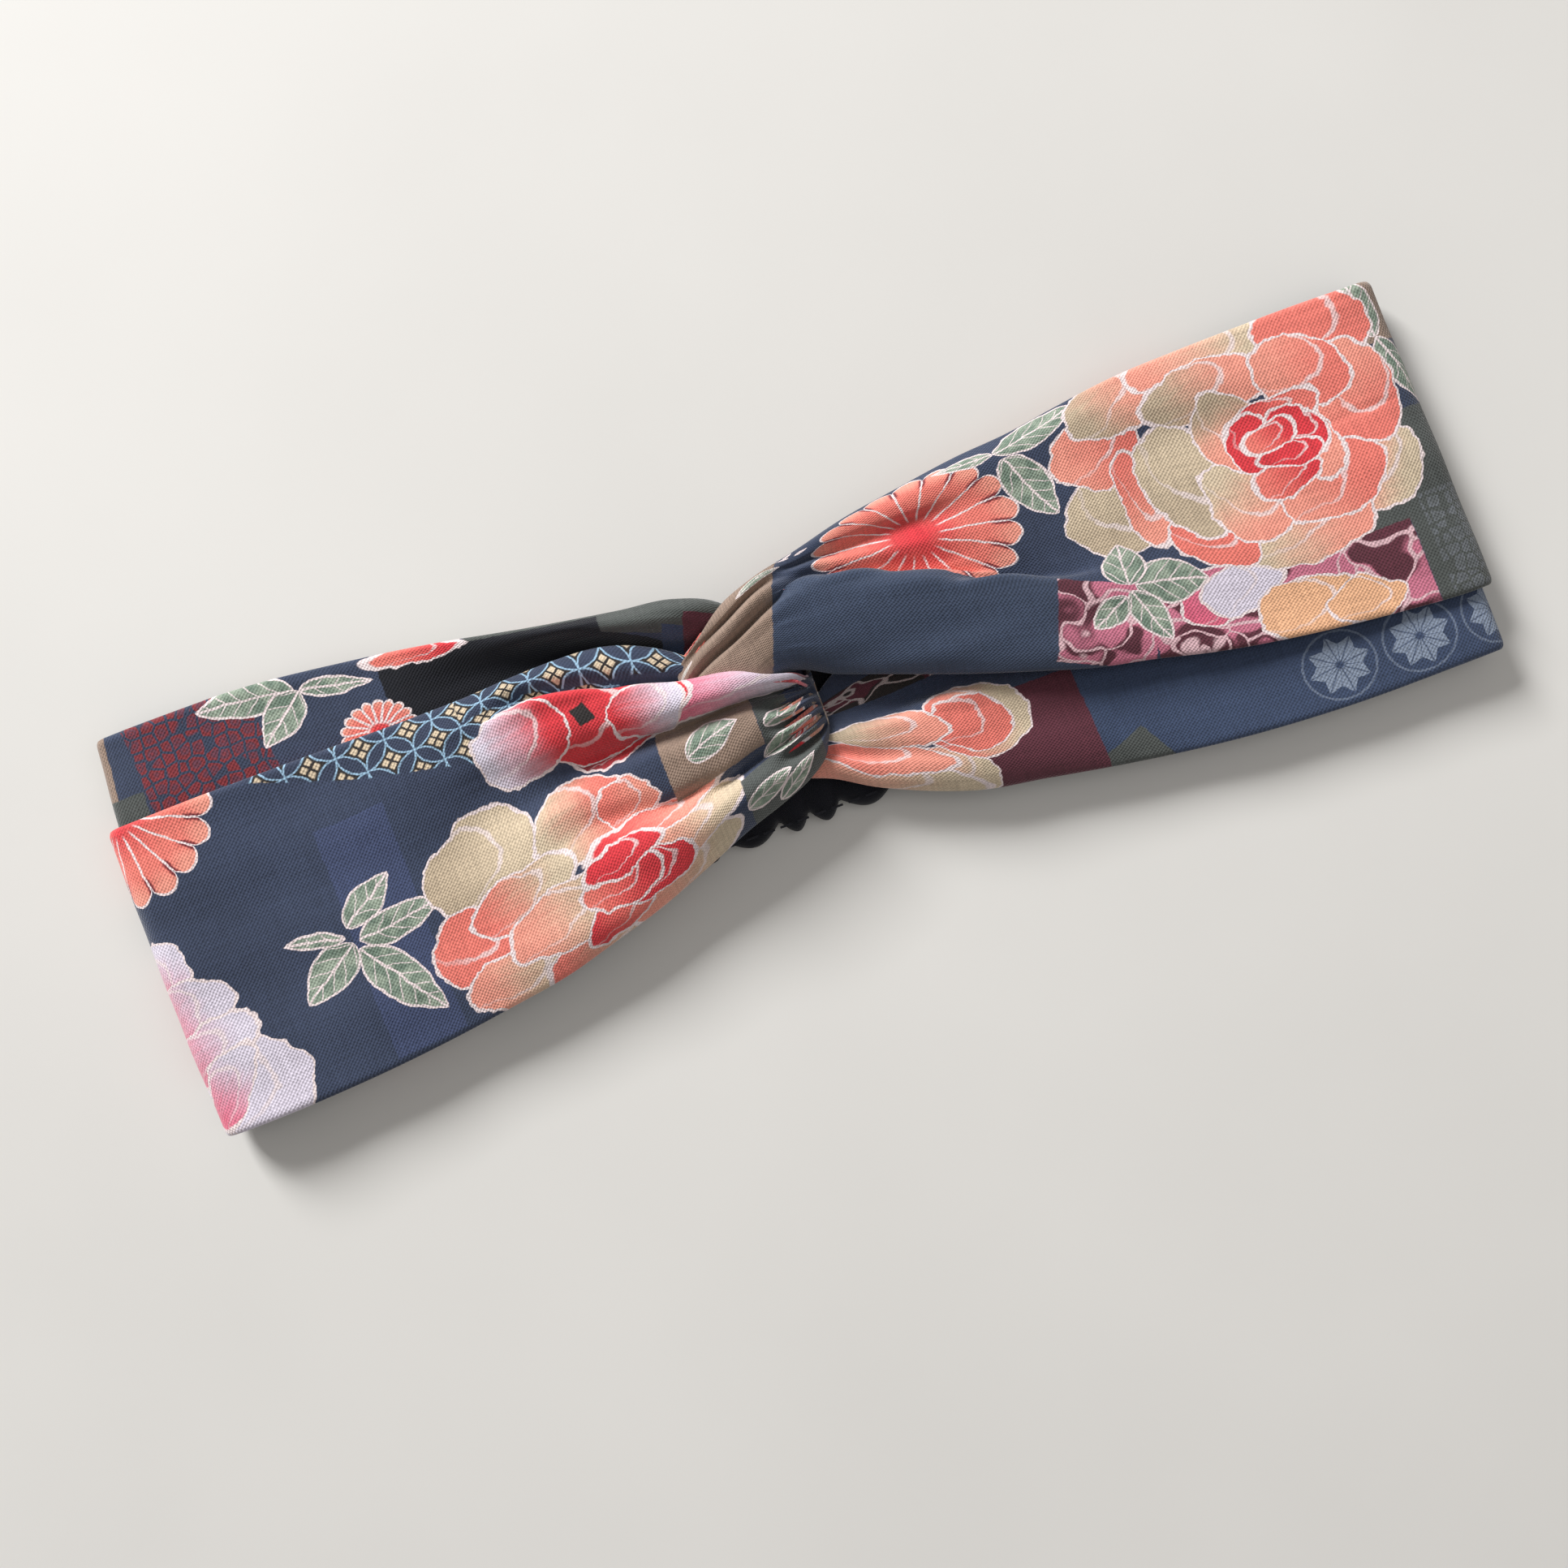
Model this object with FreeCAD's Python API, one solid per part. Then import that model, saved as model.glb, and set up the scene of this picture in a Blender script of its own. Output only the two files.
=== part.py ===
import FreeCAD, Part
import os

# A twist-front headband, folded flat: two flattened fabric tubes turn round each other in a knot at
# the front, wrap round a fold at each side, and are gathered at the back into an elasticated casing.
# X runs along the headband, Y across the fabric, Z up. The origin is under the middle, at the table.

# Driving dimensions, in millimetres.
HALF_LENGTH = 121.0        # centre of the knot to the outside of a side fold
PLY_STACK = 1.6            # thickness of one flattened tube
BAND_WIDTH = 58.0          # flat width of one tube
Z_BACK_OUTER = 0.0         # underside of each layer where the stack lies flat
Z_BACK_INNER = 2.0
Z_FRONT_UNDER = 4.8
Z_FRONT_TOP = 6.8
FOLD_Z = 4.2               # height of the axis that both folds of a side share
FOLD_X = HALF_LENGTH - FOLD_Z

CASING_HALF_LENGTH = 55.0  # centre of the back to where the bands are sewn in
CASING_WIDTH = 32.0
CASING_Y = -6.0            # middle of the casing across the fabric
CASING_HEIGHT = 3.2
CASING_WALL = 0.6
CASING_CAVITY_WIDTH = 24.0
ELASTIC_WIDTH = 20.0
ELASTIC_THICKNESS = 0.9
ELASTIC_HALF_LENGTH = 53.0
JOIN_GAP = 0.5             # left between a gathered band end and the casing
THREAD = 0.4
STITCH_LENGTH = 2.2
STITCH_HEIGHT = 0.25
STITCHES_PER_JOIN = 9
TACK_WIDTH = 1.2
TACK_LENGTH = 1.6
TACK_GAP = 0.02            # left between the elastic and the tacks on it
JOIN_STITCH_Z = CASING_HEIGHT + 0.15

KNOT_REACH = 19.5          # where the legs end and the rolled strands of the knot begin
STRAND_HALF_THICKNESS = 2.1
LEFT_STRAND_HALF_WIDTH = 3.8
RIGHT_STRAND_HALF_WIDTH = 5.6

# Where the two strands of each band cross the middle of the knot: (y, z) under, then top.
LEFT_STRANDS = ((9.0, 6.2), (-5.0, 14.2))
RIGHT_STRANDS = ((-12.0, 6.4), (12.0, 13.0))


def stadium(x, y_low, y_high, z_low, z_high):
    """A flattened tube's section in the plane X = x, with rounded edges."""
    r = (z_high - z_low) / 2.0
    z_mid = (z_low + z_high) / 2.0
    inner_low = y_low + r
    inner_high = y_high - r
    a = FreeCAD.Vector(x, inner_low, z_low)
    b = FreeCAD.Vector(x, inner_high, z_low)
    c = FreeCAD.Vector(x, inner_high, z_high)
    d = FreeCAD.Vector(x, inner_low, z_high)
    right = Part.Arc(b, FreeCAD.Vector(x, y_high, z_mid), c).toShape()
    left = Part.Arc(d, FreeCAD.Vector(x, y_low, z_mid), a).toShape()
    return Part.Wire([
        Part.LineSegment(a, b).toShape(),
        right,
        Part.LineSegment(c, d).toShape(),
        left,
    ])


def leg(stations):
    """A flattened tube through sections given as (x, y_low, y_high, z_low, z_high)."""
    return Part.makeLoft([stadium(*s) for s in stations], True, True)


def side_fold(side, y_low, y_high, z_low):
    """Half a turn of a flattened tube round the fold axis of one side."""
    face = Part.Face(stadium(side * FOLD_X, y_low, y_high, z_low, z_low + PLY_STACK))
    return face.revolve(
        FreeCAD.Vector(side * FOLD_X, 0, FOLD_Z), FreeCAD.Vector(0, 1, 0), side * 180.0
    )


def box(x0, x1, y0, y1, z0, z1):
    """A box between two X, two Y and two Z values."""
    return Part.makeBox(x1 - x0, y1 - y0, z1 - z0, FreeCAD.Vector(x0, y0, z0))


def knot_turn(strands, half_width, side):
    """The rolled loop of one band: two strands in from its own side and a half turn between them.

    side is the side the band comes from, -1 for the left band and +1 for the right one.
    """
    (y_under, z_under), (y_top, z_top) = strands
    under = FreeCAD.Vector(0, y_under, z_under)
    top = FreeCAD.Vector(0, y_top, z_top)
    middle = (under + top) * 0.5
    across = (top - under).normalize()
    section = Part.Ellipse(
        top + across * half_width,
        top + FreeCAD.Vector(1, 0, 0).cross(across) * STRAND_HALF_THICKNESS,
        top,
    )
    top_face = Part.Face(Part.Wire(section.toShape()))
    under_face = top_face.copy()
    under_face.translate(under - top)
    reach = FreeCAD.Vector(side * KNOT_REACH, 0, 0)
    axis = FreeCAD.Vector(1, 0, 0).cross(across).normalize()
    turn = top_face.revolve(middle, axis, side * 180.0)
    return turn.fuse([top_face.extrude(reach), under_face.extrude(reach)])


def strand_station(side, strand, half_width):
    """The section where a leg has been rolled up into a strand of the knot."""
    y, z = strand
    half = STRAND_HALF_THICKNESS
    return (side * KNOT_REACH, y - half_width, y + half_width, z - half, z + half)


def stitch_row(x0, x1, count, y, z):
    """Short stitches along X from x0 to x1 on one line, as separate solids."""
    pitch = (x1 - x0) / (count - 1)
    return Part.makeCompound([
        box(
            x0 + k * pitch - STITCH_LENGTH / 2.0,
            x0 + k * pitch + STITCH_LENGTH / 2.0,
            y - THREAD / 2.0, y + THREAD / 2.0,
            z, z + STITCH_HEIGHT,
        )
        for k in range(count)
    ])


def join_stitches(side):
    """A row of stitches across a join, on the side that faces the head."""
    x_in = side * (CASING_HALF_LENGTH - 1.6)
    x_out = side * (CASING_HALF_LENGTH + 2.4)
    y_first = CASING_Y - CASING_WIDTH / 2.0 + 3.0
    pitch = (CASING_WIDTH - 6.0) / (STITCHES_PER_JOIN - 1)
    return Part.makeCompound([
        box(
            min(x_in, x_out), max(x_in, x_out),
            y_first + k * pitch - THREAD, y_first + k * pitch + THREAD,
            JOIN_STITCH_Z, JOIN_STITCH_Z + THREAD,
        )
        for k in range(STITCHES_PER_JOIN)
    ])


# Across-fabric limits of each leg where it lies flat beside its side fold.
LEFT_TOP_Y = (-37.0, -37.0 + BAND_WIDTH)
LEFT_UNDER_Y = (37.0 - BAND_WIDTH, 37.0)
RIGHT_TOP_Y = (-24.0, -24.0 + BAND_WIDTH)
RIGHT_UNDER_Y = (-35.5, -35.5 + BAND_WIDTH)

x_join = CASING_HALF_LENGTH + JOIN_GAP
join_low = CASING_Y - CASING_WIDTH / 2.0
join_high = CASING_Y + CASING_WIDTH / 2.0
z_top = Z_FRONT_TOP
z_under = Z_FRONT_UNDER
t = PLY_STACK

shapes = {}

# Left band: the top leg comes down to the knot from the left fold, over the under leg.
shapes["left_band_top_leg"] = leg([
    (-FOLD_X, *LEFT_TOP_Y, z_top, z_top + t),
    (-80.0, -35.0, 21.2, z_top, z_top + t),
    (-52.0, -31.0, 22.0, z_top + 0.2, z_top + 2.6),
    (-33.0, -25.5, 20.5, z_top + 1.4, z_top + 5.0),
    (-25.0, -20.5, 14.0, z_top + 3.0, z_top + 7.4),
    strand_station(-1, LEFT_STRANDS[1], LEFT_STRAND_HALF_WIDTH),
])
shapes["left_band_under_leg"] = leg([
    (-FOLD_X, *LEFT_UNDER_Y, z_under, z_under + t),
    (-80.0, -17.0, 35.4, z_under, z_under + t),
    (-52.0, -10.0, 31.0, z_under, z_under + t),
    (-33.0, -3.0, 27.2, z_under - 0.3, z_under + 2.4),
    (-25.0, 1.0, 23.0, z_under - 0.3, z_under + 3.4),
    strand_station(-1, LEFT_STRANDS[0], LEFT_STRAND_HALF_WIDTH),
])
shapes["left_band_back_outer_leg"] = leg([
    (-FOLD_X, *LEFT_TOP_Y, Z_BACK_OUTER, Z_BACK_OUTER + t),
    (-92.0, -34.0, 19.0, Z_BACK_OUTER, Z_BACK_OUTER + t),
    (-66.0, -25.0, 13.0, Z_BACK_OUTER, Z_BACK_OUTER + t),
    (-x_join, join_low, join_high, Z_BACK_OUTER, Z_BACK_OUTER + t - 0.1),
])
shapes["left_band_back_inner_leg"] = leg([
    (-FOLD_X, *LEFT_UNDER_Y, Z_BACK_INNER, Z_BACK_INNER + t),
    (-92.0, -20.0, 33.0, Z_BACK_INNER, Z_BACK_INNER + t),
    (-66.0, -20.5, 17.0, Z_BACK_INNER - 0.2, Z_BACK_INNER + t - 0.2),
    (-x_join, join_low, join_high, 1.7, CASING_HEIGHT),
])

# Right band: the same, mirrored, but its top leg lies higher up the fabric than its under leg.
shapes["right_band_top_leg"] = leg([
    (FOLD_X, *RIGHT_TOP_Y, z_top, z_top + t),
    (72.0, -18.4, 35.0, z_top, z_top + t),
    (44.0, -11.7, 32.4, z_top + 0.2, z_top + 2.6),
    (31.0, -7.0, 30.4, z_top + 1.2, z_top + 4.8),
    (24.0, -2.5, 27.5, z_top + 2.6, z_top + 7.0),
    strand_station(1, RIGHT_STRANDS[1], RIGHT_STRAND_HALF_WIDTH),
])
shapes["right_band_under_leg"] = leg([
    (FOLD_X, *RIGHT_UNDER_Y, z_under, z_under + t),
    (72.0, -34.0, 18.0, z_under, z_under + t),
    (44.0, -30.2, 8.0, z_under, z_under + t),
    (31.0, -27.5, 2.0, z_under - 0.3, z_under + 2.8),
    (24.0, -24.5, -2.5, z_under - 0.4, z_under + 3.4),
    strand_station(1, RIGHT_STRANDS[0], RIGHT_STRAND_HALF_WIDTH),
])
shapes["right_band_back_outer_leg"] = leg([
    (FOLD_X, *RIGHT_TOP_Y, Z_BACK_OUTER, Z_BACK_OUTER + t),
    (92.0, -23.5, 30.0, Z_BACK_OUTER, Z_BACK_OUTER + t),
    (66.0, -21.5, 15.5, Z_BACK_OUTER, Z_BACK_OUTER + t),
    (x_join, join_low, join_high, Z_BACK_OUTER, Z_BACK_OUTER + t - 0.1),
])
shapes["right_band_back_inner_leg"] = leg([
    (FOLD_X, *RIGHT_UNDER_Y, Z_BACK_INNER, Z_BACK_INNER + t),
    (92.0, -33.5, 20.0, Z_BACK_INNER, Z_BACK_INNER + t),
    (66.0, -25.5, 12.5, Z_BACK_INNER - 0.2, Z_BACK_INNER + t - 0.2),
    (x_join, join_low, join_high, 1.7, CASING_HEIGHT),
])

# The folds at each side: the outer one carries the top leg round to the back outer leg.
for name, side, top_y, under_y in (
    ("left", -1, LEFT_TOP_Y, LEFT_UNDER_Y),
    ("right", 1, RIGHT_TOP_Y, RIGHT_UNDER_Y),
):
    shapes[name + "_band_outer_fold"] = side_fold(side, *top_y, Z_FRONT_TOP)
    shapes[name + "_band_inner_fold"] = side_fold(side, *under_y, Z_FRONT_UNDER)
    shapes[name + "_join_stitches"] = join_stitches(side)

# The knot: each band's rolled loop passes through the other's.
shapes["left_band_knot_turn"] = knot_turn(LEFT_STRANDS, LEFT_STRAND_HALF_WIDTH, -1)
shapes["right_band_knot_turn"] = knot_turn(RIGHT_STRANDS, RIGHT_STRAND_HALF_WIDTH, 1)

# The seam that closes each tube, on the side that faces the head.
seam_z = Z_FRONT_UNDER - 0.3
shapes["left_band_seam_stitches"] = stitch_row(-110.0, -57.0, 17, 8.0, seam_z)
shapes["right_band_seam_stitches"] = stitch_row(57.0, 110.0, 17, -6.0, seam_z)

# The casing at the back, with its elastic inside, tacked at both ends.
casing = leg([
    (x, join_low, join_high, 0.0, CASING_HEIGHT)
    for x in (-CASING_HALF_LENGTH, CASING_HALF_LENGTH)
])
cavity_low = CASING_Y - CASING_CAVITY_WIDTH / 2.0
cavity_high = CASING_Y + CASING_CAVITY_WIDTH / 2.0
shapes["elastic_casing"] = casing.cut(box(
    -CASING_HALF_LENGTH, CASING_HALF_LENGTH,
    cavity_low, cavity_high,
    CASING_WALL, CASING_HEIGHT - CASING_WALL,
))
strip_z = CASING_WALL + 0.2
strip_top = strip_z + ELASTIC_THICKNESS
strip_low = CASING_Y - ELASTIC_WIDTH / 2.0
strip_high = CASING_Y + ELASTIC_WIDTH / 2.0
tack_z = strip_top + TACK_GAP
shapes["elastic_strip"] = box(
    -ELASTIC_HALF_LENGTH, ELASTIC_HALF_LENGTH, strip_low, strip_high, strip_z, strip_top
)
for name, side in (("left", -1), ("right", 1)):
    x = side * (ELASTIC_HALF_LENGTH - 2.5)
    shapes["elastic_" + name + "_tack"] = Part.makeCompound([
        box(
            x - TACK_WIDTH / 2.0, x + TACK_WIDTH / 2.0,
            y - TACK_LENGTH / 2.0, y + TACK_LENGTH / 2.0,
            tack_z, tack_z + THREAD,
        )
        for y in [strip_low + 2.0 + 2.0 * k for k in range(9)]
    ])
shapes["casing_seam_stitches"] = stitch_row(
    -CASING_HALF_LENGTH + 3.0, CASING_HALF_LENGTH - 3.0, 33, join_low + 1.8, CASING_HEIGHT
)

os.makedirs("parts", exist_ok=True)
for name, shape in shapes.items():
    shape.exportStep(os.path.join("parts", name + ".step"))
    print(name, shape.isValid(), round(shape.Volume, 1))
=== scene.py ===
"""A twist-front headband: printed cotton bands, a gathered elastic casing, and the table they lie on.

Sizes are in millimetres in the object's own frame and are scaled to metres when a mesh is made.
X runs along the headband, Y across the fabric, Z up. Print positions are on the flat cloth.
"""

import logging
import math
from dataclasses import dataclass, field
from enum import Enum
from typing import Callable, ClassVar, Optional, Sequence, Union

import bpy
import numpy as np
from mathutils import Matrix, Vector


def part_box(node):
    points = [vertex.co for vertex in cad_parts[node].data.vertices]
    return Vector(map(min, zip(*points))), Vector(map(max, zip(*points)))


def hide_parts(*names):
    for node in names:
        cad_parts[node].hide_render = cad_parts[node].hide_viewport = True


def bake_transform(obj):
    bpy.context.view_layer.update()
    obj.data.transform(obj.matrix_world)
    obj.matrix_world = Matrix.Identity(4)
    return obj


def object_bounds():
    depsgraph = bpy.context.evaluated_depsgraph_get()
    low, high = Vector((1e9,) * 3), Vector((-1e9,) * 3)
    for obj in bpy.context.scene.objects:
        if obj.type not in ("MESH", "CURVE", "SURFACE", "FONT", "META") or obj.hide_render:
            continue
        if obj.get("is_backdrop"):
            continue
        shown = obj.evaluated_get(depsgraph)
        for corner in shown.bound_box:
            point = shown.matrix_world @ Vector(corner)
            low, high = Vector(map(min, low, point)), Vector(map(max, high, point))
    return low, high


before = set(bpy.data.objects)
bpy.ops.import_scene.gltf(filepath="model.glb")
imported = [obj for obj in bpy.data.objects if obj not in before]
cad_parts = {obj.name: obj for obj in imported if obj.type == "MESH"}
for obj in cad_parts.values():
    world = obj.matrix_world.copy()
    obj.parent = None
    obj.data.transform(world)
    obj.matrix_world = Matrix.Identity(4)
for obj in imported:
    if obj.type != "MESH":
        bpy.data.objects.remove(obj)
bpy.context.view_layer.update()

MM = 0.001
CLOTH_COORDINATES = "cloth"
CLOTH_THICKNESS = 0.3
LINE_SOFTNESS = 0.18
LOG = logging.getLogger("headband")

Colour = tuple[float, float, float, float]
Pair = tuple[float, float]
Profile = Sequence[tuple[float, float, float]]


def srgb(red: int, green: int, blue: int) -> Colour:
    """A colour given in display values from 0 to 255, as linear light."""
    def linear(value: int) -> float:
        """One channel as linear light."""
        v = value / 255.0
        return v / 12.92 if v <= 0.04045 else ((v + 0.055) / 1.055) ** 2.4
    return (linear(red), linear(green), linear(blue), 1.0)


def scaled(colour: Colour, by: float) -> Colour:
    """A colour made brighter or darker."""
    return (colour[0] * by, colour[1] * by, colour[2] * by, 1.0)


NAVY = srgb(50, 59, 80)
FLAP_NAVY = srgb(56, 67, 88)
BLUE_NAVY = srgb(55, 68, 94)
DEEP_NAVY = srgb(15, 17, 26)
MOSS_GREY = srgb(74, 78, 76)
TAUPE = srgb(140, 119, 105)
MAROON = srgb(88, 42, 54)
DARK_RED = srgb(120, 42, 48)
MAUVE = srgb(190, 110, 132)
RED = srgb(205, 54, 62)
CORAL = srgb(220, 116, 104)
PINK_CORAL = srgb(226, 146, 128)
CREAM = srgb(200, 182, 156)
SAND = srgb(180, 162, 138)
PEACH = srgb(222, 170, 132)
SAGE = srgb(104, 122, 108)
SAGE_LIGHT = srgb(146, 158, 142)
OUTLINE = srgb(222, 206, 206)
WHITE_PINK = srgb(206, 198, 212)
PINK = srgb(210, 96, 122)
DUSK_BLUE = srgb(60, 70, 100)
ASH = srgb(96, 100, 104)
SKY = srgb(140, 172, 196)
DARK_BROWN = srgb(42, 38, 38)
PALE_BLUE = srgb(150, 162, 180)


# ---------------------------------------------------------------- shader graphs

class Num:
    """A socket's value that can be combined with +, -, * and /."""

    def __init__(self, graph: "Graph", socket: bpy.types.NodeSocket) -> None:
        """Remember the graph that new nodes go into, and the socket."""
        self.graph = graph
        self.socket = socket

    def __add__(self, other: "Value") -> "Num":
        """The sum."""
        return self.graph.math("ADD", self, other)

    __radd__ = __add__

    def __sub__(self, other: "Value") -> "Num":
        """The difference."""
        return self.graph.math("SUBTRACT", self, other)

    def __rsub__(self, other: "Value") -> "Num":
        """The difference, taken from a plain number."""
        return self.graph.math("SUBTRACT", other, self)

    def __mul__(self, other: "Value") -> "Num":
        """The product."""
        return self.graph.math("MULTIPLY", self, other)

    __rmul__ = __mul__

    def __truediv__(self, other: "Value") -> "Num":
        """The quotient."""
        return self.graph.math("DIVIDE", self, other)


Value = Union[Num, float]


class Graph:
    """Adds nodes to one node tree with plain function calls."""

    def __init__(self, tree: bpy.types.NodeTree) -> None:
        """Work in the given tree."""
        self.tree = tree

    def node(self, kind: str) -> bpy.types.Node:
        """A new node of the given kind."""
        return self.tree.nodes.new(kind)

    def plug(self, socket: bpy.types.NodeSocket, value: object) -> None:
        """Link a value to a socket, or set the socket to a constant.

        Args:
            socket: an input socket.
            value: a Num, or a constant.
        """
        if isinstance(value, Num):
            self.tree.links.new(value.socket, socket)
        else:
            socket.default_value = value

    def math(self, operation: str, *values: Value) -> Num:
        """The result of a Math node.

        Args:
            operation: the node's operation.
            values: its inputs, in order.

        Returns:
            The node's output.
        """
        node = self.node("ShaderNodeMath")
        node.operation = operation
        for socket, value in zip(node.inputs, values):
            self.plug(socket, value)
        return Num(self, node.outputs[0])

    def both(self, *masks: Value) -> Num:
        """The product of several masks.

        Args:
            masks: two or more masks.

        Returns:
            Their product.
        """
        total = masks[0]
        for mask in masks[1:]:
            total = self.math("MULTIPLY", total, mask)
        return total

    def step(self, value: Value, low: Value, high: Value) -> Num:
        """A smooth step from 0 at low to 1 at high.

        Args:
            value: what is compared.
            low: where the step starts.
            high: where it ends.

        Returns:
            The step, from 0 to 1.
        """
        node = self.node("ShaderNodeMapRange")
        node.interpolation_type = "SMOOTHSTEP"
        for index, item in enumerate((value, low, high)):
            self.plug(node.inputs[index], item)
        return Num(self, node.outputs[0])

    def line(self, distance: Value, half_width: Value) -> Num:
        """A mask that is 1 where a distance is under half_width, with a soft edge."""
        return 1.0 - self.step(self.math("ABSOLUTE", distance), half_width, half_width + LINE_SOFTNESS)

    def length(self, x: Num, y: Num) -> Num:
        """The length of a flat vector."""
        return self.math("SQRT", x * x + y * y)

    def mix(self, factor: Value, below: object, above: object) -> Num:
        """A colour between below and above.

        Args:
            factor: 0 for the colour below, 1 for the one above.
            below: a colour.
            above: a colour.

        Returns:
            The mixed colour.
        """
        node = self.node("ShaderNodeMix")
        node.data_type = "RGBA"
        self.plug(node.inputs[0], factor)
        self.plug(node.inputs[6], below)
        self.plug(node.inputs[7], above)
        return Num(self, node.outputs[2])

    def multiply_colour(self, colour: object, value: Num) -> Num:
        """A colour scaled in brightness by a value.

        Args:
            colour: a colour.
            value: what to scale it by.

        Returns:
            The scaled colour.
        """
        node = self.node("ShaderNodeVectorMath")
        node.operation = "SCALE"
        self.plug(node.inputs[0], colour if isinstance(colour, Num) else colour[:3])
        self.plug(node.inputs["Scale"], value)
        return Num(self, node.outputs[0])

    def noise(self, at: Num, scale: float, detail: float = 2.0) -> Num:
        """A noise value about 0.5 that varies over about 1 / scale millimetres.

        Args:
            at: where to look the noise up.
            scale: how fine it is.
            detail: how many finer layers it has.

        Returns:
            The noise, from 0 to 1.
        """
        node = self.node("ShaderNodeTexNoise")
        self.plug(node.inputs["Vector"], at)
        node.inputs["Scale"].default_value = scale
        node.inputs["Detail"].default_value = detail
        return Num(self, node.outputs[0])

    def chance(self, number: Num) -> Num:
        """A random value from 0 to 1 that depends only on a number.

        Args:
            number: what the value depends on.

        Returns:
            The random value.
        """
        node = self.node("ShaderNodeTexWhiteNoise")
        node.noise_dimensions = "1D"
        self.plug(node.inputs["W"], number)
        return Num(self, node.outputs["Value"])

    def warp(self, at: Num, scale: float, amount: float) -> Num:
        """The position moved about by noise, up to half of amount each way.

        Args:
            at: a position.
            scale: how fine the noise is.
            amount: the range of the movement.

        Returns:
            The moved position.
        """
        noise = self.node("ShaderNodeTexNoise")
        self.plug(noise.inputs["Vector"], at)
        noise.inputs["Scale"].default_value = scale
        noise.inputs["Detail"].default_value = 1.0
        centred = self.node("ShaderNodeVectorMath")
        centred.operation = "MULTIPLY_ADD"
        self.tree.links.new(noise.outputs[1], centred.inputs[0])
        centred.inputs[1].default_value = (amount, amount, 0.0)
        centred.inputs[2].default_value = (-amount / 2.0, -amount / 2.0, 0.0)
        total = self.node("ShaderNodeVectorMath")
        total.operation = "ADD"
        self.plug(total.inputs[0], at)
        self.tree.links.new(centred.outputs[0], total.inputs[1])
        return Num(self, total.outputs[0])

    def split(self, vector: Num) -> tuple[Num, Num]:
        """The X and Y of a vector.

        Args:
            vector: a vector.

        Returns:
            Its X and its Y.
        """
        node = self.node("ShaderNodeSeparateXYZ")
        self.plug(node.inputs[0], vector)
        return Num(self, node.outputs[0]), Num(self, node.outputs[1])

    def join(self, x: Value, y: Value) -> Num:
        """A vector with the given X and Y.

        Args:
            x: the X.
            y: the Y.

        Returns:
            The vector.
        """
        node = self.node("ShaderNodeCombineXYZ")
        self.plug(node.inputs[0], x)
        self.plug(node.inputs[1], y)
        return Num(self, node.outputs[0])

    def local(self, at: Num, centre: Num, angle: Num) -> tuple[Num, Num]:
        """X and Y of a position in a frame at a centre, turned by an angle.

        Args:
            at: a position.
            centre: the frame's origin.
            angle: the frame's turn, in radians.

        Returns:
            X and Y in that frame.
        """
        offset = self.node("ShaderNodeVectorMath")
        offset.operation = "SUBTRACT"
        self.plug(offset.inputs[0], at)
        self.plug(offset.inputs[1], centre)
        turn = self.node("ShaderNodeVectorRotate")
        turn.rotation_type = "Z_AXIS"
        self.tree.links.new(offset.outputs[0], turn.inputs["Vector"])
        self.plug(turn.inputs["Angle"], 0.0 - angle)
        return self.split(Num(self, turn.outputs[0]))

    def in_millimetres(self, position: bpy.types.NodeSocket) -> Num:
        """A position in metres, scaled to millimetres.

        Args:
            position: a vector socket in metres.

        Returns:
            The position in millimetres.
        """
        node = self.node("ShaderNodeVectorMath")
        node.operation = "SCALE"
        self.tree.links.new(position, node.inputs[0])
        node.inputs["Scale"].default_value = 1.0 / MM
        return Num(self, node.outputs[0])

    def bump(self, shader: bpy.types.Node, height: Num, distance: float, strength: float = 1.0) -> None:
        """Bump a shader's normal by a height.

        Args:
            shader: the Principled shader.
            height: the height, about 0 to 1.
            distance: how far a height of 1 rises, in millimetres.
            strength: how strongly it shows.
        """
        node = self.node("ShaderNodeBump")
        node.inputs["Strength"].default_value = strength
        node.inputs["Distance"].default_value = distance * MM
        self.plug(node.inputs["Height"], height)
        self.tree.links.new(node.outputs[0], shader.inputs["Normal"])

    def call(self, group: bpy.types.NodeTree, **values: object) -> dict[str, Num]:
        """The outputs of a node group, whose inputs are named with underscores for spaces.

        Args:
            group: the group.
            values: the group's inputs.

        Returns:
            The group's outputs, by name.
        """
        node = self.node("ShaderNodeGroup")
        node.node_tree = group
        for name, value in values.items():
            self.plug(node.inputs[name.replace("_", " ")], value)
        return {socket.name: Num(self, socket) for socket in node.outputs}


def start_material(name: str) -> tuple[bpy.types.Material, Graph, bpy.types.Node]:
    """A new material, its graph and its Principled shader.

    Args:
        name: the material's name.

    Returns:
        The material, its graph and its shader.
    """
    made = bpy.data.materials.new(name)
    made.use_nodes = True
    return made, Graph(made.node_tree), made.node_tree.nodes["Principled BSDF"]


class Kind(Enum):
    """What a group's input or output holds."""

    NUMBER = "NodeSocketFloat"
    VECTOR = "NodeSocketVector"
    COLOUR = "NodeSocketColor"


Maker = Callable[[Graph, dict[str, Num]], dict[str, Num]]


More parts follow.
